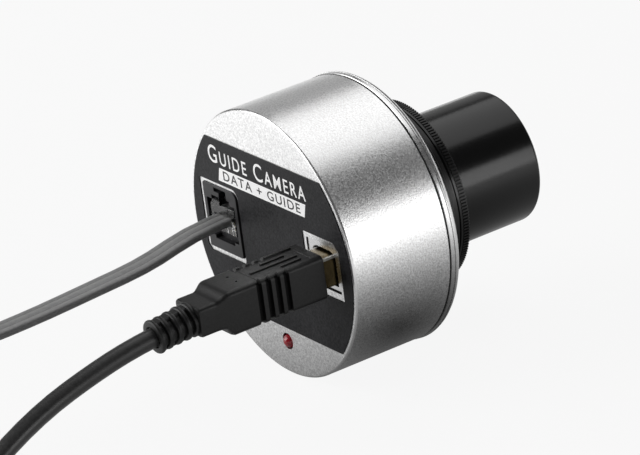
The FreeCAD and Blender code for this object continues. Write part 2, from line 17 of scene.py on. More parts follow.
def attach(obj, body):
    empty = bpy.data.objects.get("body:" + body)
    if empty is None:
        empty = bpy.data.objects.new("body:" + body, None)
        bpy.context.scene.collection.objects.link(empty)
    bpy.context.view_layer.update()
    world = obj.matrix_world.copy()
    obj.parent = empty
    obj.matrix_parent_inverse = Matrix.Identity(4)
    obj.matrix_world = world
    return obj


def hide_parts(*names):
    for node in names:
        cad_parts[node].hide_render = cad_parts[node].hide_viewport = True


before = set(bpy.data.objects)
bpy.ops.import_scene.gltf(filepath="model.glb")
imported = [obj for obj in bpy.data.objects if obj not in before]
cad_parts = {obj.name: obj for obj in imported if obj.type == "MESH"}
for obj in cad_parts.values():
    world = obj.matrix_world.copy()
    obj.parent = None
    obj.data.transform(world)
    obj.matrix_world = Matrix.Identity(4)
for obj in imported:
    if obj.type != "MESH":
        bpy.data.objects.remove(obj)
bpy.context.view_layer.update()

logging.basicConfig(level=logging.INFO, format="%(message)s")
log = logging.getLogger("guide_camera")

Outline = list[tuple[float, float]]
Route = list[tuple[float, float, float]]
Colour = tuple[float, float, float]
Corners = tuple[float, float, float, float]
BMesh = bmesh.types.BMesh
Face = bmesh.types.BMFace
Tree = bpy.types.NodeTree
Node = bpy.types.Node
Socket = bpy.types.NodeSocket
Object = bpy.types.Object

METRE = Matrix.Scale(0.001, 4)
AXIS_HEIGHT = 32.3
REAR_FACE = -31.8
CAMERA_PLACE = Matrix.Translation((0.0, REAR_FACE, AXIS_HEIGHT))
FULL_TURN = 2.0 * math.pi
WELD = 1e-4
SLIVER = 1e-5
SAME_SPOT = 1e-6
HOUSING_STEPS = 256
RING_STEPS = 192
TIE_WIDE = 7.0
TIE_THICK = 0.4


class Body(Enum):
    """The rigid bodies that pieces ride on."""

    CAMERA = "camera_body"
    SPACER = "spacer"
    NOSEPIECE = "nosepiece"
    DATA_PLUG = "usb_plug"
    GUIDE_PLUG = "guide_plug"
    GUIDE_LATCH = "guide_latch"
    MOUNT_LATCH = "mount_latch"


# ---------------------------------------------------------------- node groups


def new_group(
    name: str, inputs: list[tuple[str, float]], outputs: list[str]
) -> Tree:
    """Start a shader node group whose sockets are all numbers.

    Args:
        name: the group's name.
        inputs: name and default of each input.
        outputs: name of each output.

    Returns:
        The node tree, with its Group Input and Group Output nodes in it.
    """
    tree = bpy.data.node_groups.new(name, "ShaderNodeTree")
    for label, default in inputs:
        socket = tree.interface.new_socket(
            label, in_out="INPUT", socket_type="NodeSocketFloat"
        )
        socket.default_value = default
    for label in outputs:
        tree.interface.new_socket(label, in_out="OUTPUT", socket_type="NodeSocketFloat")
    tree.nodes.new("NodeGroupInput").name = "in"
    tree.nodes.new("NodeGroupOutput").name = "out"
    return tree


def add_node(tree: Tree, kind: str, **values: object) -> Node:
    """Add a node to a tree.

    Args:
        tree: the tree.
        kind: the node's type.
        values: its properties, or its inputs by index as in0, in1 and so on.

    Returns:
        The new node.
    """
    node = tree.nodes.new(kind)
    for key, value in values.items():
        if key.startswith("in") and key[2:].isdigit():
            node.inputs[int(key[2:])].default_value = value
        else:
            setattr(node, key, value)
    return node


def wire(tree: Tree, *pairs: tuple[Socket, Socket]) -> None:
    """Link each pair of an output and an input."""
    for source, target in pairs:
        tree.links.new(source, target)


def scaled_noise(tree: Tree, scale_name: str, detail: float) -> Node:
    """Add noise on object coordinates whose scale comes from a group input.

    Args:
        tree: the group's tree.
        scale_name: the group input that sets the scale.
        detail: the noise's octaves.

    Returns:
        The noise node.
    """
    coord = add_node(tree, "ShaderNodeTexCoord")
    noise = add_node(tree, "ShaderNodeTexNoise")
    noise.inputs["Detail"].default_value = detail
    wire(
        tree,
        (coord.outputs["Object"], noise.inputs["Vector"]),
        (tree.nodes["in"].outputs[scale_name], noise.inputs["Scale"]),
    )
    return noise


def remap(tree: Tree, source: Socket, low: float, high: float) -> Node:
    """Stretch the middle of a noise to the range 0 to 1.

    Args:
        tree: the tree.
        source: the noise.
        low: what becomes 0.
        high: what becomes 1.

    Returns:
        The node that puts out the stretched noise.
    """
    node = add_node(tree, "ShaderNodeMapRange", in1=low, in2=high)
    wire(tree, (source, node.inputs[0]))
    return node


def grain_group() -> Tree:
    """A fine grain with slow mottling.

    Returns:
        A group that puts out a 0 to 1 tone, a roughness and a height.
    """
    tree = new_group(
        "fine_grain",
        [
            ("Grain scale", 1500.0), ("Mottle scale", 60.0), ("Mottle share", 0.3),
            ("Roughness low", 0.3), ("Roughness high", 0.45),
        ],
        ["Tone", "Roughness", "Height"],
    )
    fine = remap(tree, scaled_noise(tree, "Grain scale", 2.0).outputs[0], 0.3, 0.7)
    slow = remap(tree, scaled_noise(tree, "Mottle scale", 3.0).outputs[0], 0.35, 0.65)
    tone = add_node(tree, "ShaderNodeMix", data_type="FLOAT")
    rough = add_node(tree, "ShaderNodeMapRange")
    given, out = tree.nodes["in"].outputs, tree.nodes["out"].inputs
    wire(
        tree,
        (given["Mottle share"], tone.inputs[0]),
        (fine.outputs[0], tone.inputs[2]),
        (slow.outputs[0], tone.inputs[3]),
        (tone.outputs[0], rough.inputs[0]),
        (given["Roughness low"], rough.inputs[3]),
        (given["Roughness high"], rough.inputs[4]),
        (tone.outputs[0], out["Tone"]),
        (rough.outputs[0], out["Roughness"]),
        (fine.outputs[0], out["Height"]),
    )
    return tree


def turning_group() -> Tree:
    """Fine tool lines round the optical axis.

    Returns:
        A group that puts out a height.
    """
    tree = new_group("turned_lines", [("Lines per metre", 4000.0)], ["Height"])
    coord = add_node(tree, "ShaderNodeTexCoord")
    centre = add_node(tree, "ShaderNodeMapping")
    centre.inputs["Location"].default_value = (0.0, 0.0, -AXIS_HEIGHT / 1000.0)
    split = add_node(tree, "ShaderNodeSeparateXYZ")
    x_squared = add_node(tree, "ShaderNodeMath", operation="POWER", in1=2.0)
    z_squared = add_node(tree, "ShaderNodeMath", operation="POWER", in1=2.0)
    total = add_node(tree, "ShaderNodeMath", operation="ADD")
    radius = add_node(tree, "ShaderNodeMath", operation="SQRT")
    spiral = add_node(tree, "ShaderNodeMath", operation="ADD")
    noise = add_node(tree, "ShaderNodeTexNoise", noise_dimensions="1D")
    noise.inputs["Detail"].default_value = 2.0
    wire(
        tree,
        (coord.outputs["Object"], centre.inputs["Vector"]),
        (centre.outputs[0], split.inputs[0]),
        (split.outputs["X"], x_squared.inputs[0]),
        (split.outputs["Z"], z_squared.inputs[0]),
        (x_squared.outputs[0], total.inputs[0]),
        (z_squared.outputs[0], total.inputs[1]),
        (total.outputs[0], radius.inputs[0]),
        (radius.outputs[0], spiral.inputs[0]),
        (split.outputs["Y"], spiral.inputs[1]),
        (spiral.outputs[0], noise.inputs["W"]),
        (tree.nodes["in"].outputs["Lines per metre"], noise.inputs["Scale"]),
        (noise.outputs[0], tree.nodes["out"].inputs["Height"]),
    )
    return tree


GROUPS = {"grain": grain_group(), "turning": turning_group()}


# ---------------------------------------------------------------- finishes


@dataclass(frozen=True)
class Finish:
    """A surface finish: how it looks, and the record's slot it stands for."""

    name: str
    slot: str
    dark: Colour
    light: Colour
    metallic: float = 0.0
    rough: tuple[float, float] = (0.4, 0.5)
    grain: float = 1500.0
    mottle: float = 60.0
    mottle_share: float = 0.3
    bump: float = 0.1
    bump_depth: float = 0.00002
    turned: float = 0.0
    specular: float = 0.5
    coat: float = 0.0
    coat_rough: float = 0.1
    clear: float = 0.0
    ior: float = 1.5
    glow: float = 0.0

    def material(self) -> bpy.types.Material:
        """Build the finish's material, once.

        Returns:
            The node material.
        """
        if self.name in bpy.data.materials:
            return bpy.data.materials[self.name]
        made = bpy.data.materials.new(self.name)
        made.use_nodes = True
        tree = made.node_tree
        shader = tree.nodes["Principled BSDF"]
        settings = {
            "Metallic": self.metallic, "Specular IOR Level": self.specular,
            "Coat Weight": self.coat, "Coat Roughness": self.coat_rough,
            "Transmission Weight": self.clear, "IOR": self.ior,
        }
        if self.glow:
            settings["Emission Color"] = (*self.light, 1.0)
            settings["Emission Strength"] = self.glow
        grain = add_node(tree, "ShaderNodeGroup", node_tree=GROUPS["grain"])
        texture = {
            "Grain scale": self.grain, "Mottle scale": self.mottle,
            "Mottle share": self.mottle_share,
            "Roughness low": self.rough[0], "Roughness high": self.rough[1],
        }
        for node, values in ((shader, settings), (grain, texture)):
            for label, value in values.items():
                node.inputs[label].default_value = value
        colour = add_node(
            tree, "ShaderNodeMix", data_type="RGBA", in6=(*self.dark, 1.0), in7=(*self.light, 1.0)
        )
        bump = add_node(tree, "ShaderNodeBump")
        bump.inputs["Strength"].default_value = self.bump
        bump.inputs["Distance"].default_value = self.bump_depth
        relief = grain
        if self.turned:
            relief = add_node(tree, "ShaderNodeGroup", node_tree=GROUPS["turning"])
            relief.inputs["Lines per metre"].default_value = self.turned
        wire(
            tree,
            (grain.outputs["Tone"], colour.inputs[0]),
            (colour.outputs[2], shader.inputs["Base Color"]),
            (grain.outputs["Roughness"], shader.inputs["Roughness"]),
            (relief.outputs["Height"], bump.inputs["Height"]),
            (bump.outputs["Normal"], shader.inputs["Normal"]),
        )
        return made


def grey(value: float) -> Colour:
    """A neutral colour."""
    return (value, value, value)


SILVER = Finish(
    "blasted silver", "satin_silver", grey(0.60), grey(0.98), metallic=1.0, rough=(0.28, 0.42),
    grain=2600.0, mottle=90.0, mottle_share=0.05, bump=0.6,
)
BRIGHT_EDGE = Finish(
    "bright cut edge", "satin_silver", grey(0.66), grey(0.76), metallic=1.0, rough=(0.24, 0.32),
    grain=900.0, turned=9000.0,
)
SEAM = Finish("seam rubber", "black_rubber", grey(0.02), grey(0.035), rough=(0.6, 0.8))
SCREW = Finish(
    "screw steel", "screw_steel", grey(0.3), grey(0.42), metallic=1.0, rough=(0.25, 0.4),
    grain=1800.0,
)
LABEL = Finish(
    "charcoal film", "label_print", (0.001, 0.001, 0.002), (0.036, 0.036, 0.038),
    rough=(0.36, 0.52), grain=2200.0, bump=0.5, specular=0.12,
)
# Painted light: the white ink glows a little, standing in for more light falling on the rear face.
INK = Finish("white ink with painted glow", "label_print", grey(0.88), grey(0.95), grain=2200.0, glow=0.15)
DARK_INK = Finish("dark ink", "label_print", grey(0.02), grey(0.035), grain=2200.0)
ANODISED = Finish(
    "black anodised", "black_anodised", grey(0.003), grey(0.005), rough=(0.17, 0.24),
    grain=2400.0, mottle=70.0, mottle_share=0.2, bump=0.08, specular=0.36,
)
BLACK_TURNED = Finish(
    "black turned", "black_anodised", grey(0.004), grey(0.008), rough=(0.28, 0.4), grain=2400.0,
    turned=7000.0, specular=0.35,
)
BAFFLE = Finish(
    "flat black inside", "black_anodised", grey(0.004), grey(0.008), rough=(0.7, 0.85),
    specular=0.3,
)
GLASS = Finish(
    "coated glass", "clear_glass", (0.93, 0.97, 0.95), (1.0, 1.0, 1.0), rough=(0.0, 0.02),
    bump=0.0, clear=1.0, ior=1.52,
)
BOARD = Finish(
    "solder mask", "board_green", (0.012, 0.09, 0.035), (0.02, 0.13, 0.05), rough=(0.25, 0.4),
    grain=700.0,
)
CHIP = Finish(
    "moulded black", "chip_black", grey(0.018), grey(0.03), rough=(0.5, 0.65), grain=2000.0,
    bump=0.3,
)
PLATED = Finish(
    "bright plating", "bright_metal", grey(0.68), grey(0.76), metallic=1.0, rough=(0.24, 0.3),
    grain=900.0, bump=0.02,
)
WARM_NICKEL = Finish(
    "warm nickel", "warm_nickel", (0.065, 0.048, 0.022), (0.13, 0.1, 0.05), metallic=1.0,
    rough=(0.3, 0.45), grain=500.0, bump=0.03,
)
TAN = Finish("ceramic tan", "capacitor_tan", (0.35, 0.25, 0.14), (0.5, 0.38, 0.22))
CERAMIC = Finish(
    "sensor ceramic", "sensor_ceramic", (0.08, 0.07, 0.06), (0.13, 0.11, 0.1), rough=(0.5, 0.6),
)
WHITE_PLASTIC = Finish("white insert", "white_plastic", (0.62, 0.61, 0.57), (0.75, 0.74, 0.7))
GOLD = Finish(
    "gold contact", "gold_contact", (0.72, 0.5, 0.18), (0.88, 0.66, 0.28), metallic=1.0,
    rough=(0.2, 0.3), grain=900.0, bump=0.03,
)
JACK = Finish(
    "jack plastic", "jack_plastic", (0.012, 0.012, 0.013), (0.024, 0.024, 0.026),
    rough=(0.34, 0.46), grain=1700.0, bump=0.3, specular=0.3,
)
LAMP = Finish(
    "red lens", "lamp_red", (0.2, 0.0, 0.006), (0.42, 0.005, 0.018), rough=(0.05, 0.12),
    grain=600.0, bump=0.02, coat=0.8, coat_rough=0.04, glow=0.03,
)
CORD_BLACK = Finish(
    "black overmould", "cord_black", grey(0.008), grey(0.018), rough=(0.36, 0.5), grain=1900.0,
    mottle=50.0, mottle_share=0.25, bump=0.4, specular=0.36,
)
CORD_JACKET = Finish(
    "black jacket", "cord_black", grey(0.03), grey(0.045), rough=(0.3, 0.42), grain=1200.0,
    bump=0.15,
)
CLEAR = Finish(
    "clear plastic", "clear_plastic", (0.92, 0.94, 0.94), (1.0, 1.0, 1.0), rough=(0.03, 0.08),
    bump=0.0, clear=1.0, ior=1.58,
)
CORD_GREY = Finish(
    "grey jacket", "cord_grey", (0.2, 0.2, 0.2), (0.29, 0.29, 0.29), rough=(0.34, 0.46),
    grain=1200.0, mottle_share=0.4, bump=0.12,
)
# Painted shade: a darker, rougher black for the faces inside the grip's side grooves, standing in
# for the shade that falls in them.
GROOVE_SHADE = Finish(
    "groove black", "cord_black", grey(0.003), grey(0.006), rough=(0.6, 0.8), specular=0.15,
)
STRAP = Finish(
    "tie strap", "cord_black", grey(0.01), grey(0.022), rough=(0.6, 0.8), grain=2600.0, bump=0.6,
)


# ---------------------------------------------------------------- mesh making


def hang(name: str, data: bpy.types.ID) -> Object:
    """Put a new object into the scene.

    Args:
        name: its name.
        data: its mesh, curve, lamp or camera.

    Returns:
        The object.
    """
    made = bpy.data.objects.new(name, data)
    bpy.context.scene.collection.objects.link(made)
    return made


def turn(bm: BMesh, degrees: float, axis: str) -> None:
    """Turn a mesh about an axis through the origin."""
    matrix = Matrix.Rotation(math.radians(degrees), 3, axis)
    bmesh.ops.rotate(bm, cent=(0, 0, 0), matrix=matrix, verts=bm.verts)


def shift(bm: BMesh, x: float, y: float, z: float) -> None:
    """Move a mesh."""
    bmesh.ops.translate(bm, vec=(x, y, z), verts=bm.verts)


def weld(bm: BMesh, reach: float = WELD) -> None:
    """Merge the corners that lie within reach of each other."""
    bmesh.ops.remove_doubles(bm, verts=bm.verts, dist=reach)


def lathe(profile: Outline, steps: int) -> BMesh:
    """Spin a closed profile of (y, radius) round the Y axis.

    Args:
        profile: corners in order.
        steps: facets in the full turn.

    Returns:
        A closed mesh.
    """
    bm = bmesh.new()
    verts = [bm.verts.new((radius, y, 0.0)) for y, radius in profile]
    edges = [
        bm.edges.new(pair)
        for pair in zip(verts, verts[1:] + verts[:1])
        if (pair[0].co - pair[1].co).length > SAME_SPOT
    ]
    bmesh.ops.spin(
        bm, geom=verts + edges, cent=(0, 0, 0), axis=(0, 1, 0), angle=FULL_TURN, steps=steps,
        use_merge=True,
    )
    weld(bm)
    bmesh.ops.dissolve_degenerate(bm, dist=SLIVER, edges=bm.edges)
    loose = [edge for edge in bm.edges if not edge.link_faces]
    bmesh.ops.delete(bm, geom=loose, context="EDGES")
    bmesh.ops.recalc_face_normals(bm, faces=bm.faces)
    return bm


def block(
    x: float, y: float, z: float, wide: float, long: float, high: float, bevel: float = 0.0
) -> BMesh:
    """A block with rounded edges.

    Args:
        x, z: its middle.
        y: where it starts.
        wide, long, high: its size along X, Y and Z.
        bevel: rounding of its edges.

    Returns:
        The block's mesh.
    """
    bm = bmesh.new()
    bmesh.ops.create_cube(bm, size=1.0)
    bmesh.ops.scale(bm, vec=(wide, long, high), verts=bm.verts)
    shift(bm, x, y + long / 2.0, z)
    if bevel:
        bmesh.ops.bevel(
            bm, geom=bm.edges[:], offset=bevel, offset_type="OFFSET", segments=2, profile=0.5,
            affect="EDGES", material=-1,
        )
    return bm


def merge(*meshes: BMesh) -> BMesh:
    """Put several meshes together.

    Args:
        meshes: the meshes; all but the first are freed.

    Returns:
        The first mesh, with the others in it.
    """
    whole = meshes[0]
    for extra in meshes[1:]:
        spare = bpy.data.meshes.new("spare")
        extra.to_mesh(spare)
        extra.free()
        whole.from_mesh(spare)
        bpy.data.meshes.remove(spare)
    return whole


def polar(
    radius: float, angle: float, centre: tuple[float, float] = (0.0, 0.0)
) -> tuple[float, float]:
    """The point at a distance and an angle in radians from a centre."""
    return centre[0] + radius * math.cos(angle), centre[1] + radius * math.sin(angle)


def circle(radius: float, x: float = 0.0, z: float = 0.0, count: int = 48) -> Outline:
    """Corners of a round outline."""
    return [polar(radius, FULL_TURN * i / count, (x, z)) for i in range(count)]


def rounded(
    left: float, right: float, low: float, high: float, radii: Corners,
    steps: tuple[int, int, int, int] = (6, 6, 6, 6),
) -> Outline:
    """A rectangle with its own radius at each corner.

    Args:
        left, right, low, high: the sides.
        radii: top left, top right, bottom right and bottom left.
        steps: segments in each corner; 1 makes a chamfer.

    Returns:
        Corners, counterclockwise from the bottom left.
    """
    top_left, top_right, low_right, low_left = radii
    corners = [
        (left + low_left, low + low_left, low_left, 180, steps[3]),
        (right - low_right, low + low_right, low_right, 270, steps[2]),
        (right - top_right, high - top_right, top_right, 0, steps[1]),
        (left + top_left, high - top_left, top_left, 90, steps[0]),
    ]
    return [
        polar(radius, math.radians(start + 90.0 * i / count), (x, z))
        for x, z, radius, start, count in corners
        for i in range(count + 1)
    ]


def plate(outlines: list[Outline], y: float, thick: float, bevel: float = 0.0) -> BMesh:
    """A flat plate across the Y axis.

    Args:
        outlines: the outer outline, then one for each hole, in x and z.
        y: where the plate starts.
        thick: its thickness towards +Y.
        bevel: rounding of its edges.

    Returns:
        The plate's mesh.
    """
    curve = bpy.data.curves.new("plate", "CURVE")
    curve.dimensions = "2D"
    curve.fill_mode = "BOTH"
    curve.extrude = thick / 2.0 - bevel
    curve.bevel_depth = bevel
    curve.bevel_resolution = 1
    curve.offset = -bevel
    for outline in outlines:
        spline = curve.splines.new("POLY")
        spline.points.add(len(outline) - 1)
        spline.use_cyclic_u = True
        for point, (x, z) in zip(spline.points, outline):
            point.co = (x, z, 0.0, 1.0)
    bm = mesh_of(hang("plate", curve))
    turn(bm, 90.0, "X")
    shift(bm, 0, y + thick / 2.0, 0)
    weld(bm)
    bmesh.ops.recalc_face_normals(bm, faces=bm.faces)
    return bm


def mesh_of(shape: Object) -> BMesh:
    """Take the evaluated mesh of an object, and remove the object.

    Args:
        shape: the object.

    Returns:
        Its mesh.
    """
    bpy.context.view_layer.update()
    evaluated = shape.evaluated_get(bpy.context.evaluated_depsgraph_get())
    mesh = bpy.data.meshes.new_from_object(evaluated)
    bm = bmesh.new()
    bm.from_mesh(mesh)
    bpy.data.objects.remove(shape)
    bpy.data.meshes.remove(mesh)
    return bm


def loft(sections: list[tuple[float, Outline]]) -> BMesh:
    """Bridge outlines placed along Y, and cap both ends.

    Args:
        sections: each outline's place and its corners, as many in all of them.

    Returns:
        A closed mesh.
    """
    bm = bmesh.new()
    rings = []
    for y, outline in sections:
        verts = [bm.verts.new((x, y, z)) for x, z in outline]
        rings.append([bm.edges.new(pair) for pair in zip(verts, verts[1:] + verts[:1])])
    for near, far in zip(rings, rings[1:]):
        bmesh.ops.bridge_loops(bm, edges=near + far)
    for ring in (rings[0], rings[-1]):
        bmesh.ops.edgeloop_fill(bm, edges=ring)
    bmesh.ops.recalc_face_normals(bm, faces=bm.faces)
    return bm


def carve(bm: BMesh, *cutters: BMesh) -> BMesh:
    """Cut shapes out of a closed mesh.

    Args:
        bm: the mesh, which is freed.
        cutters: the shapes, which are freed.

    Returns:
        What is left.
    """
    blank = hang("blank", bpy.data.meshes.new("blank"))
    tool = hang("tool", bpy.data.meshes.new("tool"))
    for shape, source in ((blank, bm), (tool, merge(*cutters))):
        source.to_mesh(shape.data)
        source.free()
    cutting = blank.modifiers.new("cut", "BOOLEAN")
    cutting.operation = "DIFFERENCE"
    cutting.solver = "EXACT"
    cutting.use_self = True
    cutting.object = tool
    left = mesh_of(blank)
    bpy.data.objects.remove(tool)
    return left


def spot(face: Face) -> tuple[float, float]:
    """How far along the Y axis a face's middle lies, and how far from it."""
    middle = face.calc_center_median()
    return middle.y, math.hypot(middle.x, middle.z)


def second_finish(bm: BMesh, test: Callable[[Face], bool]) -> None:
    """Give the faces that pass a test the second finish.

    Args:
        bm: the mesh.
        test: tells whether a face takes it.
    """
    for face in bm.faces:
        if test(face):
            face.material_index = 1


def piece(
    name: str, bm: BMesh, finish: Finish | tuple[Finish, ...], body: Body,
    replaces: tuple[str, ...] = (), place: Matrix = CAMERA_PLACE, sharp: float = 32.0,
    weighted: bool = True,
) -> Object:
    """Turn a mesh in millimetres into a dressed piece that rides on a body.

    Args:
        name: the piece's name.
        bm: its mesh, which is freed.
        finish: its finish, or one for each material index.
        body: what it rides on.
        replaces: CAD nodes that it stands for.
        place: where its local origin lies.
        sharp: the angle over which an edge stays sharp, in degrees.
        weighted: whether large faces lead the shading at rounded edges.

    Returns:
        The finished object.
    """
    finishes = finish if isinstance(finish, tuple) else (finish,)
    bmesh.ops.transform(bm, matrix=METRE @ place, verts=bm.verts)
    limit = math.radians(sharp)
    for face in bm.faces:
        face.smooth = True
    for edge in bm.edges:
        edge.smooth = len(edge.link_faces) == 2 and edge.calc_face_angle(0.0) < limit
    mesh = bpy.data.meshes.new(name)
    bm.to_mesh(mesh)
    bm.free()
    for entry in finishes:
        mesh.materials.append(entry.material())
    made = hang(name, mesh)
    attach(made, body.value)
    if replaces:
        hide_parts(*replaces)
    if weighted:
        made.modifiers.new("even shading", "WEIGHTED_NORMAL").keep_sharp = True
    log.info("%s: %d faces", name, len(mesh.polygons))
    return made


# ---------------------------------------------------------------- studio


@dataclass(frozen=True)
class SoftBox:
    """A soft studio lamp aimed at the housing, in metres and watts."""

    name: str
    direction: tuple[float, float, float]
    distance: float
    wide: float
    high: float
    power: float

    def build(self, aim: Vector) -> None:
        """Hang the lamp.

        Args:
            aim: the point it faces.
        """
        lamp = bpy.data.lights.new(self.name, "AREA")
        lamp.shape = "RECTANGLE"
        lamp.size = self.wide
        lamp.size_y = self.high
        lamp.energy = self.power
        holder = hang(self.name, lamp)
        way = Vector(self.direction).normalized()
        holder.location = aim + way * self.distance
        holder.rotation_euler = way.to_track_quat("Z", "Y").to_euler()


@dataclass
class Studio:
    """The viewing camera, the lamps and the pale floor, in metres."""

    azimuth: float = 57.597
    elevation: float = 22.695
    roll: float = -7.671
    distance: float = 0.9981
    lens: float = 245.99
    sensor: float = 36.0
    nearest: float = 0.05
    farthest: float = 20.0
    shift_right: float = -0.00951
    shift_up: float = -0.00411
    aim: tuple[float, float, float] = (0.0, -0.0068, 0.0323)
    surround: float = 0.1
    floor_half: float = 6.0
    floor_grey: float = 0.4
    floor_rough: float = 0.9
    glow_share: float = 0.88
    glow_seen: float = 1.03
    # Painted reflection and shade: to glossy rays the floor glows, and the glow falls to a painted
    # pool of shade within shade_radius of shade_centre.
    shade_centre: tuple[float, float, float] = (0.028, -0.01, 0.0)
    shade_radius: float = 0.17
    painted_shade_glow: float = 0.0
    painted_reflection_glow: float = 1.3
    boxes: tuple[SoftBox, ...] = (
        SoftBox("top box", (-0.15, 0.50, 0.86), 0.9, 0.90, 0.7, 2.6),
        SoftBox("side box", (0.866, 0.50, 0.0), 0.9, 0.30, 0.58, 1.9),
        SoftBox("left box", (-0.83, 0.50, 0.15), 1.0, 0.5, 0.7, 0.38),
        SoftBox("back box", (-0.55, -0.72, 0.45), 1.0, 0.9, 0.9, 10.0),
    )

    def build(self) -> None:
        """Set up everything the object is seen with."""
        self.make_camera()
        self.make_floor()
        self.make_world()
        for softbox in self.boxes:
            softbox.build(Vector(self.aim))

    def make_camera(self) -> None:
        """Place the camera at the viewing angle."""
        bearing, rise, tilt = map(math.radians, (self.azimuth, self.elevation, self.roll))
        level = math.cos(rise)
        back = Vector((math.sin(bearing) * level, -math.cos(bearing) * level, math.sin(rise)))
        right = Vector((math.cos(bearing), math.sin(bearing), 0.0))
        up = right.cross(-back)
        across = right * math.cos(tilt) + up * math.sin(tilt)
        above = up * math.cos(tilt) - right * math.sin(tilt)
        target = Vector(self.aim) + across * self.shift_right + above * self.shift_up
        lens = bpy.data.cameras.new("camera")
        lens.lens = self.lens
        lens.sensor_width = self.sensor
        lens.clip_start = self.nearest
        lens.clip_end = self.farthest
        holder = hang("camera", lens)
        matrix = Matrix((across, above, back)).transposed().to_4x4()
        matrix.translation = target + back * self.distance
        holder.matrix_world = matrix
        bpy.context.scene.camera = holder

    def make_floor(self) -> None:
        """Lay the floor: near white where seen; to reflections it glows, with a painted pool of
        shade round the object.
        """
        bm = bmesh.new()
        bmesh.ops.create_grid(bm, x_segments=1, y_segments=1, size=self.floor_half)
        mesh = bpy.data.meshes.new("floor")
        bm.to_mesh(mesh)
        bm.free()
        material = bpy.data.materials.new("pale floor")
        material.use_nodes = True
        tree = material.node_tree
        shader = tree.nodes["Principled BSDF"]
        shader.inputs["Base Color"].default_value = (*grey(self.floor_grey), 1.0)
        shader.inputs["Roughness"].default_value = self.floor_rough
        glow = add_node(tree, "ShaderNodeEmission")
        ray = add_node(tree, "ShaderNodeLightPath").outputs
        either = add_node(tree, "ShaderNodeMath", operation="MAXIMUM")
        share = add_node(tree, "ShaderNodeMath", operation="MULTIPLY", in1=self.glow_share)
        mix = add_node(tree, "ShaderNodeMixShader")
        # Painted shade: the glow seen in reflections fades towards shade_centre; camera rays get
        # the even glow_seen level.
        coord = add_node(tree, "ShaderNodeTexCoord")
        away = add_node(
            tree, "ShaderNodeVectorMath", operation="DISTANCE", in1=self.shade_centre
        )
        fade = add_node(
            tree, "ShaderNodeMapRange", in1=0.0, in2=self.shade_radius, in3=self.painted_shade_glow,
            in4=self.painted_reflection_glow,
        )
        level = add_node(tree, "ShaderNodeMix", data_type="FLOAT", in3=self.glow_seen)
        wire(
            tree,
            (coord.outputs["Object"], away.inputs[0]),
            (away.outputs["Value"], fade.inputs[0]),
            (ray["Is Camera Ray"], level.inputs[0]),
            (fade.outputs[0], level.inputs[2]),
            (level.outputs[0], glow.inputs[1]),
            (ray["Is Camera Ray"], either.inputs[0]),
            (ray["Is Glossy Ray"], either.inputs[1]),
            (either.outputs[0], share.inputs[0]),
            (share.outputs[0], mix.inputs[0]),
            (shader.outputs[0], mix.inputs[1]),
            (glow.outputs[0], mix.inputs[2]),
            (mix.outputs[0], tree.nodes["Material Output"].inputs["Surface"]),
        )
        mesh.materials.append(material)
        hang("floor", mesh)

    def make_world(self) -> None:
        """Set an even, dim surround."""
        world = bpy.data.worlds.new("surround")
        world.use_nodes = True
        background = world.node_tree.nodes["Background"]
        background.inputs[0].default_value = (*grey(1.0), 1.0)
        background.inputs[1].default_value = self.surround
        bpy.context.scene.world = world
        bpy.context.scene.view_settings.view_transform = "Standard"


# ---------------------------------------------------------------- cords


@dataclass
class CordSection:
    """A cord's cross-section and finish."""

    outline: Outline
    finish: Finish

    def sweep(
        self, name: str, route: Route, tilts: list[float], body: Body, replaces: tuple[str, ...]
    ) -> tuple[Object, Route]:
        """Carry the section along a route.

        Args:
            name: the cord's name.
            route: control points.
            tilts: the twist at each point, in radians.
            body: what the cord rides on.
            replaces: CAD nodes it stands for.

        Returns:
            The cord's object and its centreline, in metres.
        """
        corners = [(x, z, 0.0) for x, z in self.outline]
        section = self.line("section", corners, [0.0] * len(corners), "POLY")
        section.data.splines[0].use_cyclic_u = True
        section.data.dimensions = "2D"
        section.data.fill_mode = "NONE"
        bare = self.line("centreline", route, tilts, "NURBS")
        centre = mesh_of(bare)
        centre.verts.ensure_lookup_table()
        path = [tuple(METRE @ vert.co) for vert in centre.verts]
        centre.free()
        cord = self.line(name, route, tilts, "NURBS")
        cord.data.bevel_mode = "OBJECT"
        cord.data.bevel_object = section
        cord.data.use_fill_caps = True
        bm = mesh_of(cord)
        bpy.data.objects.remove(section)
        weld(bm)
        bmesh.ops.recalc_face_normals(bm, faces=bm.faces)
        return piece(name, bm, self.finish, body, replaces, Matrix(), 50.0, False), path

    def line(self, name: str, route: Route, tilts: list[float], kind: str) -> Object:
        """Draw a curve through or along a route.

        Args:
            name: the curve's name.
            route: its control points.
            tilts: the twist at each point, in radians.
            kind: POLY to go through the points, NURBS to pass smoothly along them.

        Returns:
            The curve's object.
        """
        curve = bpy.data.curves.new(name, "CURVE")
        curve.dimensions = "3D"
        curve.twist_mode = "Z_UP"
        curve.resolution_u = 3
        spline = curve.splines.new(kind)
        spline.points.add(len(route) - 1)
        for point, place, tilt in zip(spline.points, route, tilts):
            point.co = (*place, 1.0)
            point.tilt = tilt
        if kind == "NURBS":
            spline.order_u = 3
            spline.use_endpoint_u = True
        return hang(name, curve)


def strap(
    name: str, hole: Corners, angle: float, centre: tuple[float, float], body: Body
) -> Object:
    """Make a flat tie round a coil's section.

    Args:
        name: the tie's name.
        hole: nearest and farthest radius, and lowest and highest level, of what it holds.
        angle: where on the coil it sits, in degrees.
        centre: the coil's centre.
        body: what it rides on.

    Returns:
        The tie.
    """
    near, far, low, high = hole
    rim = rounded(
        near - TIE_THICK, far + TIE_THICK, low - TIE_THICK, high + TIE_THICK, (1.8,) * 4
    )
    bm = plate([rim, rounded(*hole, (1.4,) * 4)], -TIE_WIDE / 2.0, TIE_WIDE, 0.1)
    turn(bm, angle, "Z")
    return piece(name, bm, STRAP, body, place=Matrix.Translation((*centre, 0.0)))


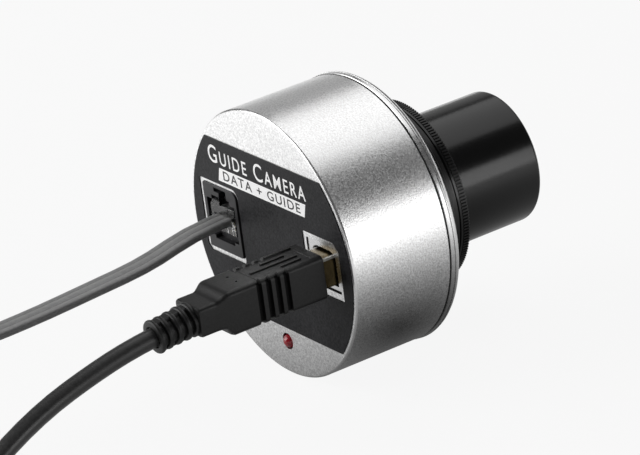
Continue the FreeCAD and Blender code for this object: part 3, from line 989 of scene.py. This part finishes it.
@dataclass
class DataCord:
    """The round cord: lead, put-away coil and tail to the far plug."""

    diameter: float = 4.5
    centre: tuple[float, float] = (4.0, -176.0)
    outer: float = 33.2
    pitch: float = 4.7
    top: float = 16.1
    drop: float = 4.6
    layers: int = 4
    turns: float = 9.6875
    per_turn: int = 32
    length: float = 1.79
    step_share: float = 0.07
    tie_hole: Corners = (19.5, 35.5, 0.4, 18.38)
    tie_angle: float = 200.0
    lead: Route = field(default_factory=lambda: [
        (20.3, -77.757, 31.897), (20.3, -83.73, 31.33), (20.5, -94.5, 29.2), (21.2, -107.0, 26.1),
        (23.6, -120.5, 21.5), (28.2, -134.0, 16.1), (33.2, -147.5, 16.1), (36.4, -161.5, 16.1),
    ])
    tail: Route = field(default_factory=lambda: [
        (-1.0, -142.2, 2.4), (6.3, -136.1, 4.2), (10.896, -132.243, 4.2),
    ])

    def coil(self) -> Route:
        """Wind the coil, from its outer top turn down to its outer bottom turn.

        Returns:
            Its control points.
        """
        points = []
        per_layer = self.turns / self.layers
        last = self.layers - 1
        for i in range(round(self.turns * self.per_turn) + 1):
            turned = i / self.per_turn
            layer = min(int(turned / per_layer), last)
            inside = turned - layer * per_layer
            run = inside if layer % 2 == 0 else per_layer - inside
            step = (turned / per_layer - layer - (1.0 - self.step_share)) / self.step_share
            ease = min(max(step, 0.0), 1.0) if layer < last else 0.0
            level = self.top - self.drop * (layer + ease * ease * (3.0 - 2.0 * ease))
            radius = self.outer - self.pitch * run
            points.append((*polar(radius, -FULL_TURN * turned, self.centre), level))
        return points

    def build(self) -> None:
        route = self.lead + self.coil() + self.tail
        section = CordSection(circle(self.diameter / 2.0, count=20), CORD_JACKET)
        cord, path = section.sweep(
            "data-cord", route, [0.0] * len(route), Body.DATA_PLUG,
            ("usb_cable", "usb_cable_coil", "usb_cable_tail"),
        )
        tie = strap(
            "data-cord-tie", self.tie_hole, self.tie_angle, self.centre, Body.DATA_PLUG
        )


@dataclass
class GuideCord:
    """The flat guide cable: lead, put-away spiral on edge, and tail to the far plug."""

    wide: float = 6.5
    thick: float = 1.8
    centre: tuple[float, float] = (4.0, -176.0)
    outer: float = 40.0
    inner: float = 22.0
    level: float = 22.15
    turns: float = 7.5
    per_turn: int = 24
    length: float = 1.65
    corner: float = 0.75
    groove_deep: float = 0.16
    tie_hole: Corners = (21.0, 41.0, 18.95, 25.45)
    tie_angle: float = 255.0
    lead: Route = field(default_factory=lambda: [
        (-19.3, -26.0, 33.3), (-19.3, -39.8, 33.3), (-19.3, -53.5, 29.7), (-19.35, -68.5, 28.7),
        (-20.2, -84.0, 27.2), (-22.8, -99.5, 25.6), (-26.6, -115.0, 24.1), (-30.6, -130.5, 23.0),
        (-33.9, -146.0, 22.4), (-35.7, -161.0, 22.15),
    ])
    tail: Route = field(default_factory=lambda: [
        (25.2, -168.4, 22.8), (20.4, -160.2, 25.6), (11.6, -156.3, 28.7), (1.4, -156.3, 28.7),
    ])

    def section(self) -> Outline:
        """Draw the jacket's section, with two shallow grooves on each broad side.

        Returns:
            Its corners.
        """
        half, rise = self.wide / 2.0, self.thick / 2.0
        outline = rounded(-half, half, -rise, rise, (self.corner,) * 4, (5, 5, 5, 5))
        deep = rise - self.groove_deep
        upper = [
            (1.5, rise), (1.25, deep), (1.0, rise), (-1.0, rise), (-1.25, deep), (-1.5, rise),
        ]
        lower = [(-x, -z) for x, z in upper]
        return outline[:6] + lower + outline[6:18] + upper + outline[18:]

    def coil(self) -> Route:
        """Wind the spiral, from its outer turn inwards.

        Returns:
            Its control points.
        """
        count = round(self.turns * self.per_turn)
        points = []
        for i in range(count + 1):
            share = i / count
            radius = self.outer + (self.inner - self.outer) * share
            angle = math.pi + FULL_TURN * self.turns * share
            points.append((*polar(radius, angle, self.centre), self.level))
        return points

    def tilts(self, coil_points: int) -> list[float]:
        """Twist the cable: flat at both plugs, on edge in the coil.

        Args:
            coil_points: how many of the route's points lie in the coil.

        Returns:
            The twist at each point of the route, in radians.
        """
        lead = [0.0, 0.0, 0.0, 0.0, 0.0, 0.0, 0.15, 0.45, 0.8, 0.97]
        tail = [0.85, 0.5, 0.1, 0.0]
        return [share * math.pi / 2 for share in lead + [1.0] * coil_points + tail]

    def build(self) -> None:
        coil = self.coil()
        cord, path = CordSection(self.section(), CORD_GREY).sweep(
            "guide-cable", self.lead + coil + self.tail, self.tilts(len(coil)), Body.GUIDE_PLUG,
            ("guide_cable", "guide_cable_coil", "guide_cable_tail"),
        )
        tie = strap(
            "guide-cable-tie", self.tie_hole, self.tie_angle, self.centre, Body.GUIDE_PLUG
        )


# ---------------------------------------------------------------- housing


@dataclass
class Housing:
    """The silver cup, its front cover and what shows of the seal."""

    radius: float = 32.0
    length: float = 26.0
    bore: float = 29.6
    wall: float = 2.6
    chamfer: float = 0.5
    cover_radius: float = 32.3
    cover_front: float = 29.3
    cover_bore: float = 22.6
    gap: float = 0.35
    well_circle: float = 27.0
    well_radius: float = 2.1
    well_deep: float = 1.3
    well_angles: tuple[int, ...] = (90, 210, 330)
    bright_from: float = 30.0
    seal_radius: float = 31.88

    def build(self) -> None:
        """Make the housing pieces."""
        self.cup()
        self.cover()
        self.seal()

    def cup(self) -> None:
        """The turned cup with its rear face and windows."""
        edge = self.radius - self.chamfer
        shell = lathe([
            (0.0, self.bore), (0.0, edge), (0.12, edge + 0.22),
            (self.chamfer - 0.12, self.radius - 0.06), (self.chamfer, self.radius),
            (self.length - 0.15, self.radius), (self.length, self.radius - 0.15),
            (self.length, self.bore), (self.wall, self.bore),
        ], HOUSING_STEPS)
        windows = [
            rounded(-26.15, -12.2, -7.2, 9.1, (0.8, 1.9, 0.8, 0.8)),
            rounded(14.5, 26.15, -5.0, 6.1, (0.3, 0.3, 0.3, 0.3), (2, 2, 2, 2)),
            circle(2.0, 0.9, -23.8, 40),
        ]
        face = plate([circle(self.bore, count=HOUSING_STEPS), *windows], 0.0, self.wall)
        whole = merge(shell, face)
        weld(whole, 0.002)

        def cut_edge(one: Face) -> bool:
            """Whether a face belongs to the bright cut edge."""
            along, out = spot(one)
            return along < self.chamfer and out > edge

        second_finish(whole, cut_edge)
        piece("housing-cup", whole, (SILVER, BRIGHT_EDGE), Body.CAMERA, ("rear_housing",))

    def cover(self) -> None:
        """The front cover with its bright bevel and fine line."""
        edge, front, back = self.cover_radius, self.cover_front, self.length + self.gap
        inner = self.cover_bore
        cover = lathe([
            (back - 1.5, 28.5), (back - 1.5, self.bore - 0.15), (back, self.bore - 0.15),
            (back, edge - 0.3),
            (back + 0.12, edge - 0.15), (back + 0.85, edge - 0.1), (back + 0.9, edge - 0.28),
            (back + 1.02, edge - 0.28), (back + 1.08, edge - 0.02), (back + 1.25, edge),
            (back + 1.7, edge - 0.18), (back + 2.2, edge - 0.55), (back + 2.6, edge - 1.0),
            (front - 0.1, edge - 1.6), (front, edge - 1.9), (front, inner), (back, inner),
            (back, 28.5),
        ], HOUSING_STEPS)
        floor, wide = front - self.well_deep, self.well_radius
        holes = []
        for degrees in self.well_angles:
            x, z = polar(self.well_circle, math.radians(degrees))
            well = lathe([(floor, 0.0), (floor, wide), (front + 1.0, wide), (front + 1.0, 0.0)], 32)
            shift(well, x, 0, z)
            holes.append(well)
        cover = carve(cover, *holes)

        def bright(one: Face) -> bool:
            """Whether a face belongs to the bright bevel."""
            along, out = spot(one)
            return back < along < front - 0.01 and out > self.bright_from

        second_finish(cover, bright)
        piece("front-cover", cover, (SILVER, BRIGHT_EDGE), Body.CAMERA, ("front_cover",))

    def seal(self) -> None:
        """The dark seal in the seam."""
        start, end, edge = self.length, self.length + self.gap, self.seal_radius
        piece("seam-seal", lathe([
            (start, self.bore), (start, edge - 0.13), (start + 0.1, edge), (end - 0.1, edge),
            (end, edge - 0.13), (end, self.bore),
        ], HOUSING_STEPS), SEAM, Body.CAMERA, ("cover_seal",))


@dataclass
class RearLabel:
    """The charcoal label and its generic print."""

    radius: float = 30.95
    top: float = 21.1
    bottom: float = -20.3
    thick: float = 0.2
    ink: float = 0.03
    film_steps: int = 72
    heading_size: float = 4.4
    heading_start: tuple[float, float] = (-21.8, 15.1)
    heading_wide: float = 38.6
    strip_size: float = 2.3
    strip_start: tuple[float, float] = (-16.6, 11.5)
    strip_wide: float = 30.6
    letter_scale: float = 1.4
    letter_bold: float = 0.03
    letter_space: float = 1.2
    small_caps: float = 0.78

    def build(self) -> None:
        """Make the label, the heading and the inverted strip."""
        self.film()
        self.words("heading-ink", "Guide Camera", self.heading_size, self.heading_start,
                   self.heading_wide, INK, self.thick + self.ink)
        slanted = [(-18.8, 10.9), (15.4, 10.9), (16.3, 14.2), (-17.9, 14.2)]
        panel = plate([slanted], -self.thick - self.ink, self.ink)
        piece("strip-ink", panel, INK, Body.CAMERA)
        self.words("strip-words", "DATA + GUIDE", self.strip_size, self.strip_start,
                   self.strip_wide, DARK_INK, self.thick + 2 * self.ink)

    def film(self) -> None:
        """The label's film with both windows."""
        turn_top = math.asin(self.top / self.radius)
        turn_low = math.asin(self.bottom / self.radius)
        count = self.film_steps
        right = [turn_low + (turn_top - turn_low) * i / count for i in range(count + 1)]
        outline = [polar(self.radius, angle) for angle in right]
        outline += [(-x, z) for x, z in reversed(outline)]
        windows = [
            rounded(-27.3, -11.9, -8.3, 9.8, (0.9, 2.1, 0.9, 1.3), (4, 6, 3, 1)),
            rounded(13.4, 27.1, -6.6, 7.4, (0.5, 1.9, 0.4, 0.5), (2, 1, 2, 2)),
        ]
        film = plate([outline, *windows], -self.thick, self.thick, 0.03)
        piece("label-film", film, LABEL, Body.CAMERA, ("rear_label",))

    def words(
        self, name: str, text: str, size: float, start: tuple[float, float], width: float,
        finish: Finish, level: float,
    ) -> None:
        """Print generic words on the label.

        Args:
            name: the piece's name.
            text: the words.
            size: letter height.
            start: left end of the base line.
            width: the length the words are stretched to.
            finish: the ink.
            level: how far the ink stands from the rear face.
        """
        curve = bpy.data.curves.new(name, "FONT")
        curve.body = text
        curve.size = size * self.letter_scale
        curve.offset = self.letter_bold
        curve.small_caps_scale = self.small_caps
        curve.space_character = self.letter_space
        for letter in curve.body_format:
            letter.use_small_caps = True
        curve.extrude = self.ink / 2.0
        bm = mesh_of(hang(name, curve))
        left = min(vert.co.x for vert in bm.verts)
        right = max(vert.co.x for vert in bm.verts)
        shift(bm, -left, 0, 0)
        bmesh.ops.scale(bm, vec=(width / (right - left), 1, 1), verts=bm.verts)
        turn(bm, 90.0, "X")
        shift(bm, start[0], -level + self.ink / 2.0, start[1])
        weld(bm)
        piece(name, bm, finish, Body.CAMERA)


@dataclass
class Lamp:
    """The red status lamp."""

    x: float = 0.9
    z: float = -23.8
    radius: float = 1.55
    proud: float = 1.0
    flange: float = 1.9
    flange_start: float = 3.2
    end: float = 4.2
    dome_steps: int = 10

    def build(self) -> None:
        """Make the domed lens with its flange."""
        start, radius = self.radius - self.proud, self.radius
        rise = [math.pi / 2 * i / self.dome_steps for i in range(self.dome_steps + 1)]
        dome = [(start - radius * math.cos(a), radius * math.sin(a)) for a in rise]
        lens = lathe(dome + [
            (self.flange_start, radius), (self.flange_start, self.flange),
            (self.end, self.flange), (self.end, 0.0),
        ], 48)
        shift(lens, self.x, 0, self.z)
        piece("status-lamp", lens, LAMP, Body.CAMERA, ("status_led",))


# ---------------------------------------------------------------- front ring and nosepiece


@dataclass
class Nosepiece:
    """The black coupling ring, the spacer and the push-in barrel."""

    flange: float = 21.6
    knurl: float = 21.95
    knurl_back: float = 37.6
    knurl_front: float = 39.4
    barrel: float = 15.875
    end: float = 64.8
    ribs: int = 180
    lip: float = 0.9
    lip_steps: int = 6
    pitch: float = 0.75
    thread_starts: int = 4
    filter_pitch: float = 0.6
    filter_turns: int = 7
    bore: float = 13.8

    def build(self) -> None:
        """Make the three black rings and the knurl."""
        self.adapter()
        piece("spacer-ring", lathe([
            (34.3, 21.05), (34.3, 22.6), (34.5, 22.9), (35.7, 22.9), (35.9, 22.6), (35.9, 21.05),
        ], RING_STEPS), BLACK_TURNED, Body.SPACER, ("spacer_ring",))
        self.tube()
        self.knurled_band()

    def adapter(self) -> None:
        """The ring that carries the female thread."""
        back, face = 26.4, 29.3
        piece("adapter-ring", lathe([
            (back, 16.5), (back, 22.5), (face, 22.5), (face, 23.7), (face + 0.3, 24.0),
            (33.1, 24.0), (33.2, 23.85), (33.4, 23.85), (33.5, 24.0), (33.9, 24.0), (34.3, 23.6),
            (34.3, 21.3), (34.1, 21.0), (30.3, 21.0), (30.3, 18.6), (28.3, 18.6), (28.3, 16.5),
        ], RING_STEPS), BLACK_TURNED, Body.CAMERA, ("adapter_ring",))

    def tube(self) -> None:
        """The barrel with its rounded mouth, filter thread and male thread."""
        flange, outer, end, front = self.flange, self.barrel, self.end, self.knurl_front
        profile = [(31.6, 17.5), (31.6, 20.5)]
        for i in range(self.thread_starts):
            start = 31.8 + self.pitch * i
            profile += [(start, 20.93), (start + 0.3, 20.93), (start + 0.55, 20.5)]
        profile += [
            (35.9, 20.5), (35.9, 21.2), (36.2, flange), (36.8, flange), (36.9, 21.9),
            (37.45, 21.9), (self.knurl_back, flange), (front - 0.15, flange),
            (front, flange - 0.2), (front, outer + 0.2), (front + 0.2, outer),
        ]
        for i in range(self.lip_steps + 1):
            angle = math.pi / 2 * i / self.lip_steps
            profile.append((
                end - self.lip + self.lip * math.sin(angle),
                outer - self.lip + self.lip * math.cos(angle),
            ))
        profile += [(end, 14.5), (end - 0.4, 14.25)]
        for i in range(self.filter_turns):
            start = end - self.filter_pitch - self.filter_pitch * i
            profile += [(start, 14.25), (start - 0.3, 13.98)]
        profile += [(end - 5.0, 14.0), (end - 5.0, 13.6), (36.9, 13.6), (34.9, 17.5)]
        barrel = lathe(profile, RING_STEPS)

        def inside(one: Face) -> bool:
            """Whether a face belongs to the flat black inside."""
            along, out = spot(one)
            return out < self.bore or along < 36.8 and out < 17.6

        second_finish(barrel, inside)
        piece("nosepiece-barrel", barrel, (ANODISED, BAFFLE), Body.NOSEPIECE, ("nosepiece",))

    def knurled_band(self) -> None:
        """The straight-ribbed grip round the flange."""
        outline = []
        low, high = self.flange, self.knurl
        for i in range(self.ribs):
            for share, radius in ((0.0, low), (0.2, high), (0.62, high), (0.82, low)):
                outline.append(polar(radius, FULL_TURN * (i + share) / self.ribs))
        long = self.knurl_front - self.knurl_back - 0.1
        band = plate([outline, circle(low - 0.4, count=self.ribs)], self.knurl_back, long)
        piece("knurled-grip", band, BLACK_TURNED, Body.NOSEPIECE)


# ---------------------------------------------------------------- sockets


@dataclass
class DataSocket:
    """The square socket in its window."""

    left: float = 14.85
    right: float = 26.1
    low: float = -4.55
    high: float = 6.05
    sunk: float = 0.25
    wall: float = 0.4
    opening: Corners = (15.95, 24.95, -3.55, 4.75)
    lining: Corners = (16.1, 24.8, -3.4, 4.6)

    def build(self) -> None:
        """Make the folded shell, its lips and the tongue."""
        steps, wall = (2, 2, 2, 2), self.wall
        rim = rounded(self.left, self.right, self.low, self.high, (0.3, 1.4, 0.3, 0.3), steps)
        mouth = rounded(*self.opening, (1.9, 1.9, 0.3, 0.3), steps)
        face = plate([rim, mouth], self.sunk, wall, 0.06)
        inner = rounded(
            self.left + wall, self.right - wall, self.low + wall, self.high - wall,
            (0.2, 1.2, 0.2, 0.2), steps,
        )
        walls = plate([rim, inner], self.sunk + wall, 14.6)
        lining = rounded(*self.lining, (1.8, 1.8, 0.3, 0.3), steps)
        throat = plate([mouth, lining], self.sunk + wall, 12.0)
        piece("data-socket-shell", merge(face, walls), PLATED, Body.CAMERA, ("usb_socket_shell",))
        tongue = merge(throat, block(20.3, 3.2, 0.5, 5.6, 9.6, 3.1, 0.3))
        piece("data-socket-insert", tongue, JACK, Body.CAMERA, ("usb_socket_tongue",))


@dataclass
class GuideSocket:
    """The modular jack with its stepped latch way."""

    left: float = -26.0
    right: float = -12.6
    low: float = -7.1
    high: float = 9.0
    proud: float = 0.4

    def build(self) -> None:
        """Make the jack's face, its mouth and its inside."""
        rim = rounded(self.left, self.right, self.low, self.high, (0.6, 1.7, 0.6, 0.6))
        mouth = [
            (-24.9, -3.8), (-23.2, -3.8), (-23.2, -4.6), (-15.4, -4.6), (-15.4, -3.8),
            (-13.7, -3.8), (-13.7, 5.3), (-15.6, 5.3), (-15.6, 6.3), (-16.7, 6.3), (-16.7, 8.45),
            (-21.5, 8.45), (-21.5, 7.5), (-19.6, 7.5), (-19.6, 6.3), (-22.8, 6.3), (-22.8, 5.3),
            (-24.9, 5.3),
        ]
        face = plate([rim, mouth], -self.proud, 1.6, 0.1)
        channel = [
            (-24.25, -2.5), (-14.35, -2.5), (-14.35, 4.5), (-16.0, 4.5), (-16.0, 7.2),
            (-22.6, 7.2), (-22.6, 4.5), (-24.25, 4.5),
        ]
        body = plate([rim, channel], 1.2, 12.0)
        rear = plate([rim], 13.2, 2.2)
        piece("guide-socket", merge(face, body, rear), JACK, Body.CAMERA, ("guide_socket_body",))


# ---------------------------------------------------------------- plugs


@dataclass
class DataPlug:
    """The square plug: moulded grip, metal shell and ribbed sleeve."""

    x: float = 20.3
    z: float = 0.45
    front: float = -3.5
    wide: float = 11.4
    high: float = 10.5
    neck_wide: float = 9.6
    neck_low: float = -3.25
    neck_high: float = 3.75
    shoulder: float = -28.6
    neck_end: float = -36.4
    droop: float = 5.4
    corner: float = 1.15
    grooves: tuple[float, ...] = (-13.6, -16.0, -18.4, -20.9)
    shoulder_long: float = 3.4
    shoulder_steps: int = 8
    dimples: tuple[float, ...] = (-1.9, 1.5)

    def place(self) -> Matrix:
        """Where the middle of the plug lies."""
        return CAMERA_PLACE @ Matrix.Translation((self.x, 0, self.z))

    def build(self) -> None:
        """Make the plug's pieces."""
        self.grip()
        self.shell()
        self.sleeve()

    def section(self, wide: float, low: float, high: float, radius: float) -> Outline:
        """A cross-section of the moulding."""
        return rounded(-wide / 2.0, wide / 2.0, low, high, (radius,) * 4, (4, 4, 4, 4))

    def grip(self) -> None:
        """The moulding with its side grooves, top recess and stepped shoulder."""
        half, corner = self.high / 2.0, self.corner
        full = (self.wide, -half, half, corner)
        cut = (self.wide - 1.7, -half + 0.02, half - 0.42, corner)
        end = (self.wide - 0.5, -half + 0.25, half - 0.25, 1.0)
        rows = [(self.front, end), (self.front - 0.25, full)]
        for middle in self.grooves:
            rows += [
                (middle + 0.72, full), (middle + 0.6, cut), (middle - 0.6, cut),
                (middle - 0.72, full),
            ]
        rows.append((self.shoulder + 0.35, full))
        for i in range(1, self.shoulder_steps + 1):
            share = i / self.shoulder_steps
            ease = share * share * (3.0 - 2.0 * share)
            quick = min(1.0, share * 2.2)
            low_ease = quick * quick * (3.0 - 2.0 * quick)
            rows.append((self.shoulder - self.shoulder_long * share, (
                self.wide + (self.neck_wide - self.wide) * ease,
                -half + (self.neck_low + half) * low_ease,
                half + (self.neck_high - half) * ease,
                corner - 0.15 * ease,
            )))
        for ahead, inset, radius in ((0.5, 0.0, 1.0), (0.12, 0.15, 0.95), (0.0, 0.45, 0.8)):
            rows.append((self.neck_end + ahead, (
                self.neck_wide - 2.0 * inset, self.neck_low + inset, self.neck_high - inset, radius
            )))
        body = loft([(y, self.section(*sizes)) for y, sizes in rows])
        pins = []
        for side in self.dimples:
            pin = lathe([(0.0, 0.0), (0.0, 0.32), (3.0, 0.32), (3.0, 0.0)], 16)
            turn(pin, 90.0, "X")
            shift(pin, side, -24.0, half - 1.2)
            pins.append(pin)
        body = carve(body, block(0, -20.4, half + 0.6, 8.2, 14.8, 2.0, 0.25), *pins)
        marks = [
            block(x, y, half - 0.3, wide, long, 0.5, 0.12)
            for x, y, wide, long in (
                (0.0, -19.4, 0.8, 12.6), (-2.2, -15.2, 0.7, 6.4), (2.2, -12.6, 0.7, 5.4)
            )
        ]
        whole = merge(body, *marks)
        side = self.wide / 2.0 - 0.2

        def groove(one: Face) -> bool:
            """Whether a face lies inside a side groove, where the shade is painted."""
            x, y, z = one.calc_center_median()
            return -22.0 < y < -12.8 and abs(z) < half - 0.9 and abs(x) < side

        # Paint shade into the side grooves with the darker black.
        second_finish(whole, groove)
        piece("data-plug-grip", whole, (CORD_BLACK, GROOVE_SHADE), Body.DATA_PLUG,
              ("usb_plug_overmould",), self.place(), 40.0)

    def shell(self) -> None:
        """The metal shell with its two cut corners."""
        outer = rounded(-4.0, 4.0, -3.63, 3.63, (1.7, 1.7, 0.4, 0.4), (2, 2, 3, 3))
        inner = rounded(-3.65, 3.65, -3.28, 3.28, (1.5, 1.5, 0.2, 0.2), (2, 2, 3, 3))
        shell = plate([outer, inner], self.front - 0.2, 11.95, 0.08)
        piece("data-plug-shell", shell, WARM_NICKEL, Body.DATA_PLUG, ("usb_plug_shell",),
              self.place())

    def sleeve(self) -> None:
        """The flexible sleeve: five collars joined by ribs at the top and bottom."""
        collars = [
            (0.6, -0.7, 4.1), (-1.5, -2.7, 4.0), (-3.9, -5.1, 3.9), (-6.3, -7.5, 3.85),
            (-8.5, -9.6, 3.95),
        ]
        profile: Outline = [(0.6, 0.0)]
        for i, (start, stop, crest) in enumerate(collars):
            profile += [
                (start, crest - 0.35), (start - 0.2, crest - 0.08), (start - 0.4, crest),
                (stop + 0.35, crest), (stop + 0.12, crest - 0.12), (stop, crest - 0.4),
            ]
            if i < len(collars) - 1:
                profile += [(stop - 0.05, 2.9), (collars[i + 1][0] + 0.05, 2.9)]
        profile += [(-9.6, 2.6), (-9.2, 2.3), (-9.2, 0.0)]
        body = lathe(profile, 64)
        ribs = [block(0.0, -8.9, side * 3.05, 2.4, 8.9, 1.2, 0.3) for side in (-1, 1)]
        place = (
            Matrix.Translation((0, REAR_FACE + self.neck_end, AXIS_HEIGHT))
            @ Matrix.Translation((self.x, 0, 0.5))
            @ Matrix.Rotation(math.radians(self.droop), 4, "X")
        )
        piece("data-plug-sleeve", merge(body, *ribs), CORD_BLACK, Body.DATA_PLUG,
              ("usb_strain_relief",), place, 40.0)


@dataclass
class HostPlug:
    """The far plug of the data cord."""

    origin: tuple[float, float, float] = (10.896, -132.243, 4.2)
    bearing: float = -50.0
    wide: float = 15.4
    high: float = 8.2
    corner: float = 1.5
    grooves: tuple[float, ...] = (18.0, 21.0, 24.0)
    shell_half_wide: float = 6.0
    shell_half_high: float = 2.25
    wall: float = 0.3
    shell_start: float = 34.8
    shell_long: float = 19.0

    def place(self) -> Matrix:
        """Where the cord enters the plug, and which way it points."""
        return Matrix.Translation(self.origin) @ Matrix.Rotation(math.radians(self.bearing), 4, "Z")

    def build(self) -> None:
        """Make the far plug's grip, shell and insert."""
        self.grip()
        self.shell()
        insert = block(0, 34.9, -0.97, 11.3, 18.5, 1.9, 0.15)
        piece("host-plug-insert", insert, WHITE_PLASTIC, Body.DATA_PLUG, ("host_plug_insert",),
              self.place())

    def grip(self) -> None:
        """The waisted moulding with its ribbed sleeve."""
        full = (self.wide, self.high, self.corner)
        waist = (self.wide - 0.8, self.high, self.corner)
        rows = [
            (8.9, (6.6, 6.0, 2.4)), (9.2, (11.0, 7.0, 1.8)), (11.0, (14.4, 7.9, 1.6)), (12.0, full),
        ]
        for middle in self.grooves:
            rows += [
                (middle - 0.8, full), (middle - 0.5, waist), (middle + 0.5, waist),
                (middle + 0.8, full),
            ]
        rows += [(34.5, full), (35.0, (14.6, 7.4, 1.2))]
        moulding = loft([
            (y, rounded(-wide / 2, wide / 2, -high / 2, high / 2, (radius,) * 4, (4, 4, 4, 4)))
            for y, (wide, high, radius) in rows
        ])
        profile: Outline = [(0.0, 0.0), (0.0, 3.0), (0.4, 3.3)]
        for i in range(3):
            start = 2.4 * i
            profile += [
                (1.6 + start, 3.35), (1.8 + start, 2.7), (2.7 + start, 2.7), (2.9 + start, 3.35),
            ]
        sleeve = lathe(profile + [(9.3, 3.3), (9.3, 0.0)], 48)
        piece("host-plug-grip", merge(moulding, sleeve), CORD_BLACK, Body.DATA_PLUG,
              ("host_plug_overmould",), self.place(), 40.0)

    def shell(self) -> None:
        """The metal shell with its four latch windows."""
        x, z = self.shell_half_wide, self.shell_half_high
        outer = rounded(-x, x, -z, z, (0.5,) * 4, (3, 3, 3, 3))
        x, z = x - self.wall, z - self.wall
        inner = rounded(-x, x, -z, z, (0.3,) * 4, (3, 3, 3, 3))
        windows = [
            block(across * 2.6, 46.5, up * 2.2, 2.4, 2.2, 1.6)
            for across in (-1, 1) for up in (-1, 1)
        ]
        shell = carve(plate([outer, inner], self.shell_start, self.shell_long, 0.06), *windows)
        piece("host-plug-shell", shell, PLATED, Body.DATA_PLUG, ("host_plug_shell",), self.place())


@dataclass
class ModularPlug:
    """A clear six-way plug of the guide cable."""

    name: str
    place: Matrix
    latch_body: Body
    wide: float = 9.65
    high: float = 6.6
    long: float = 11.7
    contact_pitch: float = 1.02

    def build(self) -> None:
        """Make the clear block, its contacts and its latch."""
        half, long = self.high / 2.0, self.long
        columns = [self.contact_pitch * (i - 2.5) for i in range(6)]
        blank = block(0, 0, 0, self.wide, long, self.high, 0.25)
        slots = [block(x, long - 5.2, -half + 1.0, 0.5, 4.8, 3.0) for x in columns]
        way = block(0, -1.0, 0, 6.9, 8.2, 2.2)
        blank = carve(blank, way, block(0, 3.0, half, 4.2, 2.4, 1.6), *slots)
        piece(f"{self.name}-plug-block", blank, CLEAR, Body.GUIDE_PLUG,
              (f"{self.name}_plug_body",), self.place, 25.0)
        blades = merge(*[
            block(x, long - 5.0, -half + 1.2, 0.36, 4.4, 2.2, 0.06) for x in columns
        ])
        piece(f"{self.name}-plug-contacts", blades, GOLD, Body.GUIDE_PLUG,
              (f"{self.name}_plug_contacts",), self.place)
        lever = plate([[
            (long - 0.3, half + 0.1), (long - 0.3, half + 0.8), (long - 1.2, half + 0.9),
            (2.0, half + 1.62), (-1.4, half + 1.9), (-1.4, half + 1.05), (long - 1.4, half + 0.1),
        ]], -1.6, 3.2, 0.12)
        turn(lever, 90.0, "Z")
        piece(f"{self.name}-plug-latch", lever, CLEAR, self.latch_body,
              (f"{self.name}_plug_latch",), self.place, 25.0)


# ---------------------------------------------------------------- inner nodes


NODE_FINISHES = {
    "cover_screws": SCREW, "board_screws": SCREW, "sensor_screws": SCREW,
    "window_glass": GLASS, "sensor_glass": GLASS, "window_retainer": BLACK_TURNED,
    "main_board": BOARD, "sensor_board": BOARD, "controller_chip": CHIP, "memory_chip": CHIP,
    "guide_relays": CHIP, "board_receptacle": CHIP, "board_header": CHIP,
    "clock_crystal": PLATED, "sensor_standoffs": PLATED, "led_leads": PLATED,
    "capacitors": TAN, "image_sensor": CERAMIC, "usb_plug_insert": WHITE_PLASTIC,
    "usb_socket_contacts": GOLD, "guide_socket_contacts": GOLD,
}


def dress_inner_nodes() -> None:
    """Give the nodes that keep their own mesh their finishes."""
    for name, finish in NODE_FINISHES.items():
        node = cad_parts[name]
        node.data.materials.clear()
        node.data.materials.append(finish.material())


def main() -> None:
    """Build the camera in its studio, piece by piece."""
    Studio().build()
    HostPlug().build()
    guide_place = CAMERA_PLACE @ Matrix.Translation((-19.3, -0.2, 1.0))
    mount_place = Matrix.Translation((6.4, -156.3, 28.7)) @ Matrix.Rotation(math.pi / 2, 4, "Z")
    ModularPlug("guide", guide_place, Body.GUIDE_LATCH).build()
    ModularPlug("mount", mount_place, Body.MOUNT_LATCH).build()
    for assembly in (
        DataCord(), GuideCord(), Housing(), RearLabel(), Lamp(), Nosepiece(), DataSocket(),
        GuideSocket(), DataPlug(),
    ):
        assembly.build()
        log.info("built %s", type(assembly).__name__)
    dress_inner_nodes()


if __name__ == "__main__":
    main()
